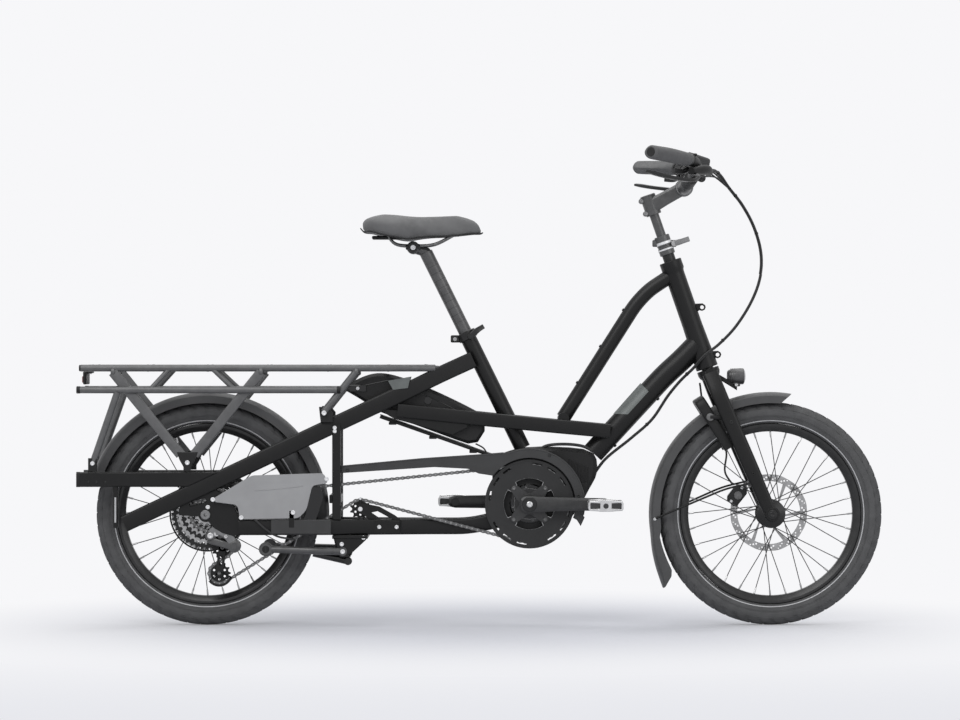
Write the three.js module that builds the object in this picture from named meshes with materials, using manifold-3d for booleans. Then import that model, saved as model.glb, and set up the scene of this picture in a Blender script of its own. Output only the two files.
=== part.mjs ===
// Longtail cargo bicycle with a mid motor, a rear carrier and two wheels of the same small size.
// Units are millimetres. +X is forward, +Z is up, and the drive side faces -Y.
// Heights count from the wheels' axles, and the whole bicycle is lifted by a tyre's radius at the end.
import * as THREE from 'three';
import { mergeVertices } from 'three/addons/utils/BufferGeometryUtils.js';
import Module from 'manifold-3d';

const wasm = await Module();
wasm.setup();

// Clearances
const SEAT_GAP = 0.3;
const RUNNING_GAP = 0.6;
const OVERRUN = 20;

// Wheels
const TYRE_RADIUS = 258;
const TYRE_HEIGHT = 49;
const TYRE_HALF_WIDTH = 27.5;
const TYRE_FOOT_HALF_WIDTH = 11;
const RIM_DEPTH = 19;
const RIM_RADIUS = TYRE_RADIUS - TYRE_HEIGHT;
const RIM_INNER_RADIUS = RIM_RADIUS - RIM_DEPTH;
const RIM_HALF_WIDTH = 16;
const WHEELBASE = 1304;
const REAR_AXLE_X = -631;
const SPOKE_RADIUS = 1.1;
const SPOKE_COUNT = 24;
const WHEEL_SIDES = 48;
const HUB_AXLE_RADIUS = 6;
const REAR_HUB_HALF = 74;
const FRONT_HUB_HALF = 55;
const REAR_HUB_SHELL = 22;
const FRONT_HUB_SHELL = 33;
const ROTOR_RADIUS = 90;
const ROTOR_TRACK = 15;
const ROTOR_THICK = 1.9;
const REAR_ROTOR_Y = 60;
const FRONT_ROTOR_Y = 44;
const FENDER_GAP = 14;
const FENDER_RISE = 12;
const FENDER_SKIRT = 16;
const FENDER_HALF_WIDTH = 34;
const FENDER_WALL = 2.4;

const REAR_AXLE = [REAR_AXLE_X, 0];
const FRONT_AXLE = [REAR_AXLE_X + WHEELBASE, 0];

// Frame places in the side view, as [forward, up]
const BB = [114, 24];
const HEAD_TOP = [441, 585];
const HEAD_BOTTOM = [527, 337];
const DOWN_TOP = [503, 392];
const DOWN_BEND = [428, 320];
const DOWN_END = [262, 140];
const TOP_START = [447, 554];
const TOP_BEND_HIGH = [392, 518];
const TOP_BEND_LOW = [360, 484];
const TOP_END = [193, 221];
const SEAT_TOP = [-33, 418];
const SEAT_END = [99, 151];
const STAY_TOP = [-17, 356];
const STAY_SHOULDER = [-92, 322];
const STAY_JOIN = [-171, 283];
const STAY_POST = [-334, 207];
const STAY_REAR = [-575, 93];
const STAY_END = [-817, -21];
const SIDE_FRONT = [300, 191];
const SIDE_MID = [150, 205];
const SIDE_SEAT = [9, 219];
const SIDE_REAR = [-190, 240];
const CHAINSTAY_FRONT = [52, -12];
const CHAINSTAY_BEND = [-25, -29];
const TAIL_CLEAR = 38;
const TAIL_END_X = REAR_AXLE_X - TYRE_RADIUS - TAIL_CLEAR;
const TAIL_Z = 81;
const DECK_Z = 337;
const DECK_REAR_X = -917;
const DECK_FRONT_X = -150;
const DECK_TIP_X = -106;
const LOW_RAIL_Z = 287;
const LOW_RAIL_FRONT_X = -320;

// Frame sections
const HEAD_RADIUS = 23;
const HEAD_BELL_RADIUS = 26;
const STEERER_RADIUS = 14.3;
const DOWN_RADIUS = 26;
const TOP_RADIUS = 17;
const SEAT_TUBE_RADIUS = 18.6;
const COLLAR_SHARE = 1.22;
const GUSSET_INSET = 1;
const SEATPOST_RADIUS = 15.5;
const STAY_HEIGHT = 38;
const STAY_THICK = 15;
const SIDE_HEIGHT = 32;
const CHAINSTAY_HEIGHT = 36;
const CHAINSTAY_THICK = 18;
const TAIL_HEIGHT = 34;
const TAIL_THICK = 20;
const POST_WIDTH = 20;
const POST_THICK = 22;
const RAIL_RADIUS = 8;
const CROSS_RADIUS = 7;

// Half spacings across the bicycle, from the middle plane to the middle of each member
const STAY_Y_TOP = SEAT_TUBE_RADIUS + STAY_THICK / 2 + SEAT_GAP;
const STAY_Y_JOIN = 60;
const STAY_Y_POST = 70;
const REAR_Y = 84;
const SIDE_Y_FRONT = DOWN_RADIUS + STAY_THICK / 2 + SEAT_GAP;
const SIDE_Y_SEAT = 54;
const CHAINSTAY_Y_FRONT = 33;
const DECK_Y = 86;
const LOW_RAIL_Y = 95;

// Drive train
const CHAIN_PITCH = 12.7;
const CHAIN_Y = -50;
const CHAIN_HALF_HEIGHT = 4.4;
const CHAIN_HALF_WIDTH = 3;
const CHAIN_STEP_ANGLE = 0.3;
const RING_TEETH = 44;
const COG_TEETH = 18;
const IDLER_TEETH = 11;
const PULLEY_TEETH = 12;
const COG_SPACING = 4.4;
const COG_THICK = 1.7;
const COG_STEP_TEETH = [40, 34, 29, 25, 21, 18, 16, 14, 13, 12];
const IDLER = [-276, 12];
const GUIDE_PULLEY = [-594, -77];
const TENSION_PULLEY = [-601, -136];
const CAGE_PIVOT = [-566, -72];
const GUARD_DISC_RADIUS = 103;
const CRANK_LENGTH = 172;
const CRANK_Y = 84;
const CRANK_THICK = 14;
const SPINDLE_RADIUS = 12;
const MOTOR_HALF_WIDTH = 38;
const MOTOR_CORNER = [30, -58];
const MOTOR_SIZE = [240, 212];
const CHAIN_GUARD_RISE = 20;
const PEDAL_Y = 148;
const PEDAL_HALF_WIDTH = 48;
const PEDAL_LENGTH = 80;
const PEDAL_THICK = 22;

// Fork and cockpit
const FORK_Y = 64;
const LEG_HALF_WIDTH = 9;
const LEG_HALF_DEPTH = 18;
const CROWN = [531, 325];
const LEG_TOP = [535, 312];
const LEG_END = [666, 10];
const LAMP_HALF_LENGTH = 21;
const LOCK_DEGREES = 122.4;
const LOCK_LUG_LENGTH = 43;
const CALIPER_LENGTH = 46;
const CALIPER_INSIDE = 12;
const REAR_FENDER_DEGREES = [-3, 165];
const FRONT_FENDER_DEGREES = [80, 200];
const STEERER_TOP_SHARE = -0.1;
const CLAMP_TOP_SHARE = -0.235;
const CLAMP_LOW_SHARE = -0.06;
const CLAMP_RADIUS = 18;
const LUG_HALF_WIDTH = 8;
const LEVER_LENGTH = 34;
const LEVER_THICK = 7;
const MAST_RADIUS = 11.1;
const MAST_TOP_SHARE = -0.617;
const MAST_FOOT_SHARE = 0.55;
const MAST_BORE_SHARE = 0.8;
const STEM_ROOT = [396, 712];
const STEM_TIP = [473, 755];
const BAR_RADIUS = 15.9;
const BAR_END_RADIUS = 11.1;
const BAR_CENTRE_HALF = 50;
const BAR_HALF_SPAN = 340;
const BAR_SWEEP = 86;
const BAR_RISE = 64;
const CONTROL_START_Y = 150;
const GRIP_START_Y = 215;
const GRIP_RADIUS = 16;
const LEVER_REACH = 116;
const DISPLAY_Y = 72;
const DISPLAY_HALF_WIDTH = 30;
const DISPLAY_CORNER = [480, 792];
const DISPLAY_SIZE = [49, 41];

// Saddle and stand
const POST_HEAD_SHARE = -0.7;
const SADDLE_TAIL = [-276, 630];
const SADDLE_SIZE = [282, 88, 58];
const SADDLE_RAIL_RADIUS = 3.6;
const STAND_PIVOT = [-316, -85];
const STAND_FOOT = [-492, -79];
const STAND_SHAFT_RADIUS = 8;
const STAND_EAR_Y = 36;
const GUARD_CORNER = [-612, -10];
const GUARD_SIZE = [264, 106];

// Hose bundle: its route is given as shares of a box that grows with the head tube's place
const HOSE_RADIUS = 4;
const HOSE_CORNER = [264, -132, 92];
const HOSE_SIZE = [HEAD_TOP[0] * 0.8753, REAR_Y * 1.5476, HEAD_TOP[1] * 1.1932];
const HOSE_SHARES = [
  [0.6477, 0, 0.9885], [0.6995, 0.1846, 1], [0.7461, 0.4615, 0.9885], [0.8031, 0.6615, 0.9484],
  [0.886, 0.7538, 0.8911], [0.9585, 0.8, 0.8166], [1, 0.8308, 0.7335], [0.9974, 0.8462, 0.6619],
  [0.9534, 0.8615, 0.5845], [0.8497, 0.8692, 0.49], [0.7461, 0.8615, 0.4298], [0.658, 0.7846, 0.3926],
  [0.5959, 0.8154, 0.3524], [0.5181, 0.9231, 0.3123], [0.4585, 0.9692, 0.2822], [0.0518, 0.9846, 0.0387],
  [0, 1, 0],
];
const HOSE_POINT_COUNT = 34;
const HOSE_SPLIT_COUNT = 14;

const Y_AXIS = new THREE.Vector3(0, 1, 0);
const CROSS_AXIS = new THREE.Vector3(1, 0, 0);
const ROUND = 12;
const POST_X = STAY_POST[0] + POST_WIDTH * 0.2;

const black = { color: 0x1b1b1c, roughness: 0.45, metalness: 0.3 };
const grey = { color: 0x55565a, roughness: 0.55, metalness: 0.35 };
const rubber = { color: 0x2c2c2e, roughness: 0.9, metalness: 0 };
const plastic = { color: 0x242426, roughness: 0.6, metalness: 0 };
const silver = { color: 0xb9bbbe, roughness: 0.3, metalness: 0.9 };
const steel = { color: 0x8d8f92, roughness: 0.35, metalness: 0.9 };
const foam = { color: 0x4a4a4d, roughness: 0.85, metalness: 0 };

const bike = new THREE.Group();

// Solids from geometry
function solid(geometry) {
  const bare = geometry.index ? geometry.clone() : mergeVertices(geometry.clone());
  bare.deleteAttribute('normal');
  bare.deleteAttribute('uv');
  const merged = mergeVertices(bare, SEAT_GAP / 300);
  const index = Array.from(merged.index.array);
  const kept = [];
  for (let i = 0; i < index.length; i += 3) {
    const [a, b, c] = index.slice(i, i + 3);
    if (a !== b && b !== c && c !== a) kept.push(a, b, c);
  }
  const place = merged.attributes.position.array;
  if (signedVolume(place, kept) < 0) kept.reverse();
  return new wasm.Manifold(new wasm.Mesh({
    numProp: 3, vertProperties: new Float32Array(place), triVerts: new Uint32Array(kept),
  }));
}

function signedVolume(place, index) {
  let sum = 0;
  const corner = (k) => new THREE.Vector3().fromArray(place, index[k] * 3);
  for (let i = 0; i < index.length; i += 3) {
    sum += corner(i).dot(corner(i + 1).cross(corner(i + 2)));
  }
  return sum;
}

function add(name, body, look, group = bike) {
  const made = body.asOriginal().simplify(SEAT_GAP / 30).getMesh();
  const geometry = new THREE.BufferGeometry();
  geometry.setAttribute('position', new THREE.BufferAttribute(new Float32Array(made.vertProperties), 3));
  geometry.setIndex(Array.from(made.triVerts));
  geometry.computeVertexNormals();
  const mesh = new THREE.Mesh(geometry, new THREE.MeshStandardMaterial(look));
  mesh.name = name;
  group.add(mesh);
  return mesh;
}

const join = (bodies) => bodies.reduce((sum, next) => sum.add(next));
const cut = (body, ...tools) => tools.reduce((left, tool) => left.subtract(tool), body);
const mirrored = (body) => body.mirror([0, 1, 0]);
const pair = (body) => body.add(mirrored(body));
const at = (place, y) => new THREE.Vector3(place[0], y, place[1]);
const mix = (a, b, share) => a.map((value, i) => value + (b[i] - value) * share);
const largest = (body) => body.decompose().reduce((a, b) => (a.volume() > b.volume() ? a : b));

// Sections for sweeps, as [across, up] pairs
function roundSection(radius, sides = ROUND) {
  const points = [];
  for (let i = 0; i < sides; i += 1) {
    const angle = (i + 0.5) / sides * Math.PI * 2;
    points.push([Math.cos(angle) * radius, Math.sin(angle) * radius]);
  }
  return points;
}

function boxSection(halfWidth, halfHeight, corner = Math.min(halfWidth, halfHeight) * 0.35) {
  const w = halfWidth - corner;
  const h = halfHeight - corner;
  return [
    [halfWidth, -h], [halfWidth, h], [w, halfHeight], [-w, halfHeight],
    [-halfWidth, h], [-halfWidth, -h], [-w, -halfHeight], [w, -halfHeight],
  ];
}

// A section swept along points with no twist: its first axis stays as near to "side" as it can
function sweep(points, section, { side = Y_AXIS, scales = null } = {}) {
  const place = [];
  const last = points.length - 1;
  points.forEach((point, i) => {
    const before = points[Math.max(i - 1, 0)];
    const after = points[Math.min(i + 1, last)];
    const into = point.clone().sub(before).normalize();
    const out = after.clone().sub(point).normalize();
    const along = into.clone().add(out).normalize();
    const guide = Math.abs(along.dot(side)) > 0.9 ? CROSS_AXIS : side;
    const across = guide.clone().addScaledVector(along, -guide.dot(along)).normalize();
    const up = across.clone().cross(along);
    const inner = i === 0 || i === last ? 1 : along.dot(out);
    const bend = i === 0 || i === last ? 0 : 1 / inner - 1;
    const turn = out.clone().sub(into).normalize();
    for (const [a, b] of section) {
      const size = scales ? scales[i] : 1;
      const offset = across.clone().multiplyScalar(a * size).addScaledVector(up, b * size);
      offset.addScaledVector(turn, turn.dot(offset) * bend);
      place.push(...offset.add(point).toArray());
    }
  });
  return loft(place, section.length, points.length);
}

// A closed skin over rings of points that follow one another, with a flat fan at each end
function loft(place, n, rings) {
  const last = rings - 1;
  const index = [];
  for (let i = 0; i < last; i += 1) {
    for (let j = 0; j < n; j += 1) {
      const a = i * n + j;
      const b = i * n + (j + 1) % n;
      index.push(a, b, b + n, a, b + n, a + n);
    }
  }
  for (let j = 1; j < n - 1; j += 1) {
    index.push(0, j + 1, j, last * n, last * n + j, last * n + j + 1);
  }
  const geometry = new THREE.BufferGeometry();
  geometry.setAttribute('position', new THREE.BufferAttribute(new Float32Array(place), 3));
  geometry.setIndex(index);
  return solid(geometry);
}

const rod = (from, to, radius, sides = ROUND) => sweep([from, to], roundSection(radius, sides));
const curve = (points, steps) => new THREE.CatmullRomCurve3(points, false, 'centripetal').getPoints(steps);

function cone(from, to, radiusFrom, radiusTo, sides = ROUND) {
  return sweep([from, to], roundSection(1, sides), { scales: [radiusFrom, radiusTo] });
}

// An outline in the side view, extruded across the bicycle between two places
function plate(outline, yLow, yHigh) {
  const shape = new THREE.Shape(outline.map(([x, z]) => new THREE.Vector2(x, z)));
  return extrudeAcross(shape, yLow, yHigh);
}

function extrudeAcross(shape, yLow, yHigh) {
  const geometry = new THREE.ExtrudeGeometry(shape, {
    depth: yHigh - yLow, bevelEnabled: false, curveSegments: 7,
  });
  geometry.rotateX(Math.PI / 2);
  geometry.translate(0, yHigh, 0);
  return solid(geometry);
}

function box(x, y, z) {
  const geometry = new THREE.BoxGeometry(x[1] - x[0], y[1] - y[0], z[1] - z[0]);
  geometry.translate((x[0] + x[1]) / 2, (y[0] + y[1]) / 2, (z[0] + z[1]) / 2);
  return solid(geometry);
}

// A profile of [radius, y] points turned about an axle across the bicycle
function turned(profile, centre, segments = WHEEL_SIDES) {
  const points = profile.map(([radius, y]) => new THREE.Vector2(radius, y));
  points.push(points[0].clone());
  const geometry = new THREE.LatheGeometry(points, segments, Math.PI / segments);
  geometry.translate(centre[0], 0, centre[1]);
  return solid(geometry);
}

const disc = (centre, radius, yLow, yHigh, sides = ROUND) =>
  rod(at(centre, yLow), at(centre, yHigh), radius, sides);

// Points on an outline given as shares of a box that starts at "corner"
const shared = (corner, size, shares) =>
  shares.map(([u, v]) => [corner[0] + size[0] * u, corner[1] + size[1] * v]);

// Frame
const headAxis = (share) => mix(HEAD_TOP, HEAD_BOTTOM, share);
const seatLine = (share) => mix(SEAT_TOP, SEAT_END, share);

function headShell(grow = 0) {
  return join([
    rod(at(HEAD_TOP, 0), at(HEAD_BOTTOM, 0), HEAD_RADIUS + grow, 16),
    cone(at(headAxis(0.62), 0), at(HEAD_BOTTOM, 0), HEAD_RADIUS + grow, HEAD_BELL_RADIUS + grow, 16),
    rod(at(headAxis(0), 0), at(headAxis(0.09), 0), HEAD_BELL_RADIUS + grow, 16),
  ]);
}

// The round channel that the steerer turns in
const headCore = () => rod(at(headAxis(-0.2), 0), at(headAxis(1.2), 0), STEERER_RADIUS + RUNNING_GAP, 16);

function motorOutline(grow = 0) {
  const low = MOTOR_CORNER.map((value) => value - grow);
  const size = MOTOR_SIZE.map((value) => value + grow * 2);
  const shares = [
    [0.03, 0.2], [0.14, 0.05], [0.36, 0], [0.6, 0.06], [0.8, 0.3], [0.93, 0.55], [1, 0.72],
    [0.97, 0.93], [0.6, 1], [0.2, 0.97], [0.02, 0.86], [0, 0.5],
  ];
  return shared(low, size, shares);
}

const motorBlank = (grow = 0) => plate(motorOutline(grow), -MOTOR_HALF_WIDTH - grow, MOTOR_HALF_WIDTH + grow);

function downTube(grow = 0) {
  const path = [DOWN_TOP, mix(DOWN_TOP, DOWN_BEND, 0.55), DOWN_BEND, DOWN_END].map((p) => at(p, 0));
  return sweep(path, roundSection(DOWN_RADIUS + grow, 16));
}

function topTube(grow = 0) {
  const path = [TOP_START, TOP_BEND_HIGH, mix(TOP_BEND_HIGH, TOP_BEND_LOW, 0.6), TOP_BEND_LOW, TOP_END];
  return sweep(path.map((p) => at(p, 0)), roundSection(TOP_RADIUS + grow, ROUND));
}

function seatTube(grow = 0) {
  return rod(at(SEAT_TOP, 0), at(SEAT_END, 0), SEAT_TUBE_RADIUS + grow, 16);
}

const stayPlaces = [STAY_TOP, STAY_SHOULDER, STAY_JOIN, STAY_POST, STAY_REAR, STAY_END];
const STAY_Y_SHOULDER = mix([STAY_Y_TOP], [STAY_Y_JOIN], 0.55)[0];
const stayAcross = [STAY_Y_TOP, STAY_Y_SHOULDER, STAY_Y_JOIN, STAY_Y_POST, REAR_Y, REAR_Y];

function upperStay(grow = 0) {
  const path = stayPlaces.map((p, i) => at(p, -stayAcross[i]));
  return sweep(path, boxSection(STAY_THICK / 2 + grow, STAY_HEIGHT / 2 + grow));
}

function sideBar(grow = 0) {
  const path = [SIDE_FRONT, SIDE_MID, SIDE_SEAT, SIDE_REAR];
  const across = [SIDE_Y_FRONT, mix([SIDE_Y_FRONT], [SIDE_Y_SEAT], 0.7)[0], SIDE_Y_SEAT, STAY_Y_JOIN];
  const section = boxSection(STAY_THICK / 2 + grow, SIDE_HEIGHT / 2 + grow);
  return sweep(path.map((p, i) => at(p, -across[i])), section);
}

function chainstay(grow = 0) {
  const level = CHAINSTAY_BEND[1];
  const path = [
    [CHAINSTAY_FRONT, CHAINSTAY_Y_FRONT], [CHAINSTAY_BEND, CHAINSTAY_Y_FRONT],
    [[mix(CHAINSTAY_BEND, STAY_JOIN, 0.7)[0], level], CHAINSTAY_Y_FRONT + CHAINSTAY_THICK / 6],
    [[STAY_JOIN[0] - CHAINSTAY_HEIGHT, level], STAY_Y_JOIN - CHAINSTAY_THICK / 2],
    [[STAY_POST[0] - POST_WIDTH, level], STAY_Y_POST + CHAINSTAY_THICK / 4],
    [[STAY_REAR[0] + OVERRUN, level], REAR_Y - STAY_THICK / 6],
  ];
  const section = boxSection(CHAINSTAY_THICK / 2 + grow, CHAINSTAY_HEIGHT / 2 + grow);
  return sweep(path.map(([p, y]) => at(p, -y)), section);
}

const bothUpperStays = (grow) => pair(upperStay(grow));
const bothSideBars = (grow) => pair(sideBar(grow));
const bothChainstays = (grow) => pair(chainstay(grow));

function frame() {
  const motor = motorBlank(SEAT_GAP);
  add('head_and_down_tube', cut(headShell().add(cut(downTube(), motor)), headCore()), black);

  const bridgeHalf = mix([SIDE_Y_FRONT], [SIDE_Y_SEAT], 0.5)[0] - STAY_THICK / 2;
  const bridge = rod(at(TOP_END, -bridgeHalf - OVERRUN), at(TOP_END, bridgeHalf + OVERRUN), TOP_RADIUS * 0.8);
  const head = headShell(SEAT_GAP).add(headCore());
  add('top_tube', cut(topTube().add(bridge), head, bothSideBars(SEAT_GAP)), black);

  const lug = rod(at(seatLine(0.76), -SIDE_Y_SEAT), at(seatLine(0.76), SIDE_Y_SEAT), SEAT_TUBE_RADIUS * 0.7);
  const bore = rod(at(seatLine(-0.2), 0), at(seatLine(0.985), 0), SEATPOST_RADIUS + SEAT_GAP, 16);
  const collar = rod(at(seatLine(-0.01), 0), at(seatLine(0.06), 0), SEAT_TUBE_RADIUS * COLLAR_SHARE);
  const ear = box(
    [SEAT_TOP[0] - SEAT_TUBE_RADIUS * 1.9, SEAT_TOP[0]], [-SEAT_TUBE_RADIUS * 0.6, SEAT_TUBE_RADIUS * 0.6],
    [SEAT_TOP[1] - SEAT_TUBE_RADIUS * 1.2, SEAT_TOP[1] - SEAT_TUBE_RADIUS * 0.3],
  );
  const seat = join([seatTube(), lug, collar, ear]);
  add('seat_tube', cut(seat, bore, motor, bothSideBars(SEAT_GAP)), black);

  const plateDrop = SIDE_HEIGHT * 0.62;
  const front = SIDE_SEAT[0] - STAY_HEIGHT;
  const gusset = plate([
    [STAY_POST[0] * 0.72, STAY_JOIN[1] - STAY_HEIGHT], SIDE_REAR, [front, SIDE_SEAT[1]],
    [front, SIDE_SEAT[1] - SIDE_HEIGHT * 0.6],
    [SIDE_SEAT[0] - STAY_HEIGHT * 1.9, SIDE_SEAT[1] - SIDE_HEIGHT / 2 - plateDrop],
    [SIDE_REAR[0] - STAY_HEIGHT * 0.2, SIDE_REAR[1] - SIDE_HEIGHT / 2 - plateDrop * 0.2],
  ], -STAY_Y_JOIN + GUSSET_INSET, -STAY_Y_JOIN + STAY_THICK / 2);
  const bars = bothSideBars(0).add(pair(gusset));
  const yokePlace = mix(SIDE_FRONT, SIDE_MID, 0.38);
  const yoke = rod(at(yokePlace, -SIDE_Y_FRONT), at(yokePlace, SIDE_Y_FRONT), SIDE_HEIGHT * 0.3, 16);
  add('side_bars', cut(bars.add(yoke), bothUpperStays(SEAT_GAP), downTube(SEAT_GAP)), black);
}

function dropout(grow = 0) {
  const h = CHAINSTAY_HEIGHT;
  const level = CHAINSTAY_BEND[1];
  const [x, z] = REAR_AXLE;
  const foot = STAY_REAR[0] + OVERRUN * 1.2;
  const outline = [
    mix(STAY_REAR, STAY_END, 0.05), mix(STAY_REAR, STAY_END, 0.6),
    [x - h * 1.9, z - h * 0.3], [x - h, z - h * 0.6], [x - h * 0.5, z - h * 1.4], [x + h * 0.3, z - h * 1.7],
    [x + h * 0.9, level - h / 2], [foot, level - h / 2], [foot, level + h / 2],
    [STAY_REAR[0] + OVERRUN * 0.3, level + h],
  ];
  return plate(outline, -REAR_Y - grow, -REAR_HUB_HALF - SEAT_GAP);
}

// The arm that carries the idler pulley outside the lower chain run, with its foot on the chainstay
function idlerArm() {
  const outer = CHAIN_Y - CHAIN_HALF_WIDTH - RUNNING_GAP * 2;
  const level = CHAINSTAY_BEND[1];
  const foot = box(
    [STAY_JOIN[0] - CHAINSTAY_HEIGHT * 1.6, STAY_JOIN[0] - CHAINSTAY_HEIGHT * 0.3],
    [outer - POST_THICK / 2, -STAY_Y_JOIN + CHAINSTAY_THICK * 1.2],
    [level - CHAINSTAY_HEIGHT / 3, level + CHAINSTAY_HEIGHT / 3],
  );
  const arm = plate([
    [STAY_JOIN[0] - CHAINSTAY_HEIGHT * 0.4, level - CHAINSTAY_HEIGHT / 4],
    [STAY_JOIN[0] - CHAINSTAY_HEIGHT * 0.4, level + CHAINSTAY_HEIGHT / 4],
    [IDLER[0] + POST_WIDTH * 0.6, IDLER[1] + POST_WIDTH * 0.4], [IDLER[0], IDLER[1] + POST_WIDTH * 0.6],
    [IDLER[0] - POST_WIDTH * 0.5, IDLER[1]], [IDLER[0], IDLER[1] - POST_WIDTH * 0.6],
  ], outer - COG_THICK * 2, outer);
  const pin = disc(IDLER, HUB_AXLE_RADIUS / 2, outer - COG_THICK, CHAIN_Y + CHAIN_HALF_WIDTH + COG_THICK, 12);
  return join([arm, foot, pin]);
}

function rearFrame() {
  const bridgePlace = mix(STAY_POST, STAY_REAR, 0.12);
  const bridge = rod(at(bridgePlace, -STAY_Y_POST), at(bridgePlace, STAY_Y_POST), CROSS_RADIUS, 12);
  const head = rod(at(STAY_SHOULDER, -stayAcross[1]), at(STAY_SHOULDER, stayAcross[1]), CROSS_RADIUS, 12);
  const tube = seatTube(SEAT_GAP);
  add('upper_stays', cut(join([pair(upperStay()), bridge, head]), tube, wheelRoom(REAR_AXLE)), black);

  const stays = bothUpperStays(SEAT_GAP);
  const level = CHAINSTAY_BEND[1];
  const end = box(
    [CHAINSTAY_FRONT[0] - CHAINSTAY_HEIGHT * 2.4, CHAINSTAY_FRONT[0] - CHAINSTAY_HEIGHT * 1.5],
    [-CHAINSTAY_Y_FRONT, CHAINSTAY_Y_FRONT], [level - CHAINSTAY_HEIGHT / 3, level + CHAINSTAY_HEIGHT / 3],
  );
  const halves = join([pair(chainstay()), cut(pair(dropout()), stays), end]);
  add('chainstays', cut(halves.add(idlerArm()), motorBlank(SEAT_GAP)), black);

  const postLow = level + CHAINSTAY_HEIGHT / 2 + SEAT_GAP;
  const post = box(
    [POST_X - POST_WIDTH / 2, POST_X + POST_WIDTH / 2],
    [-STAY_Y_POST - POST_THICK / 2, -STAY_Y_POST + POST_THICK / 2], [postLow, STAY_POST[1]],
  );
  const rung = box(
    [REAR_AXLE[0] + TYRE_RADIUS + FENDER_GAP + FENDER_RISE - POST_WIDTH, POST_X + POST_WIDTH / 2],
    [-STAY_Y_POST, STAY_Y_POST], [postLow + CHAINSTAY_HEIGHT, postLow + CHAINSTAY_HEIGHT + POST_WIDTH],
  );
  const posts = join([pair(post), rung, standMount()]);
  add('support_posts', cut(posts, stays, wheelRoom(REAR_AXLE), bothChainstays(SEAT_GAP)), black);

  const tail = box(
    [TAIL_END_X, STAY_REAR[0]], [-REAR_Y - TAIL_THICK / 2, -REAR_Y + TAIL_THICK / 2],
    [TAIL_Z - TAIL_HEIGHT / 2, TAIL_Z + TAIL_HEIGHT / 2],
  );
  const topEdge = ([x, z]) => [x, z + STAY_HEIGHT / 2];
  const above = plate([
    [TAIL_END_X - OVERRUN, TAIL_Z + TAIL_HEIGHT], topEdge(STAY_REAR), topEdge(STAY_END),
    [TAIL_END_X - OVERRUN, STAY_END[1]],
  ], -REAR_Y - TAIL_THICK, -REAR_Y + TAIL_THICK);
  const rearCross = disc([TAIL_END_X + CROSS_RADIUS * 1.2, TAIL_Z], CROSS_RADIUS, -REAR_Y, REAR_Y);
  const flag = box(
    [STAY_END[0] - TAIL_THICK * 1.3, STAY_END[0] - TAIL_THICK * 0.7 - SEAT_GAP],
    [-REAR_Y - TAIL_THICK / 3, -REAR_Y + TAIL_THICK / 3],
    [STAY_END[1] - STAY_HEIGHT / 4, TAIL_Z - TAIL_HEIGHT / 3],
  );
  const side = cut(tail.intersect(above).add(flag), upperStay(SEAT_GAP));
  add('tail_tubes', pair(largest(side)).add(rearCross), black);
}

function fenderOuter() {
  return TYRE_RADIUS + FENDER_GAP + FENDER_RISE - FENDER_WALL;
}

// The round room that a wheel and its mudguard take up
function wheelRoom(axle) {
  const half = FENDER_HALF_WIDTH + SEAT_GAP;
  return disc(axle, fenderOuter() + SEAT_GAP, -half, half, WHEEL_SIDES * 2);
}

// Carrier
const tailTop = TAIL_Z + TAIL_HEIGHT / 2;
const STRUT_FOOT = [-672, 122];
const STRUT_REAR_TOP = [-843, 328];
const STRUT_FRONT_TOP = [-503, 328];
const LOWER_REAR_FOOT = [-891, 114];
const LOWER_REAR_TOP = [-832, 277];
const FRONT_STRUT_TOP = [-284, 330];
const FRONT_STRUT_FOOT = [-359, 236];
const DECK_CROSS_SHARES = [0.035, 0.2, 0.38, 0.56, 0.74, 0.92];
const REAR_BRACE = [-712, -758];
const FRONT_BRACE = [-616, -563];

function deckRail(grow = 0) {
  const path = [
    [DECK_REAR_X, DECK_Y], [DECK_FRONT_X - DECK_Y, DECK_Y],
    [DECK_FRONT_X, mix([DECK_Y], [STAY_Y_JOIN], 0.7)[0]], [DECK_TIP_X, STAY_Y_JOIN * 0.8],
  ];
  return sweep(path.map(([x, y]) => at([x, DECK_Z], -y)), roundSection(RAIL_RADIUS + grow, 8));
}

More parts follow.
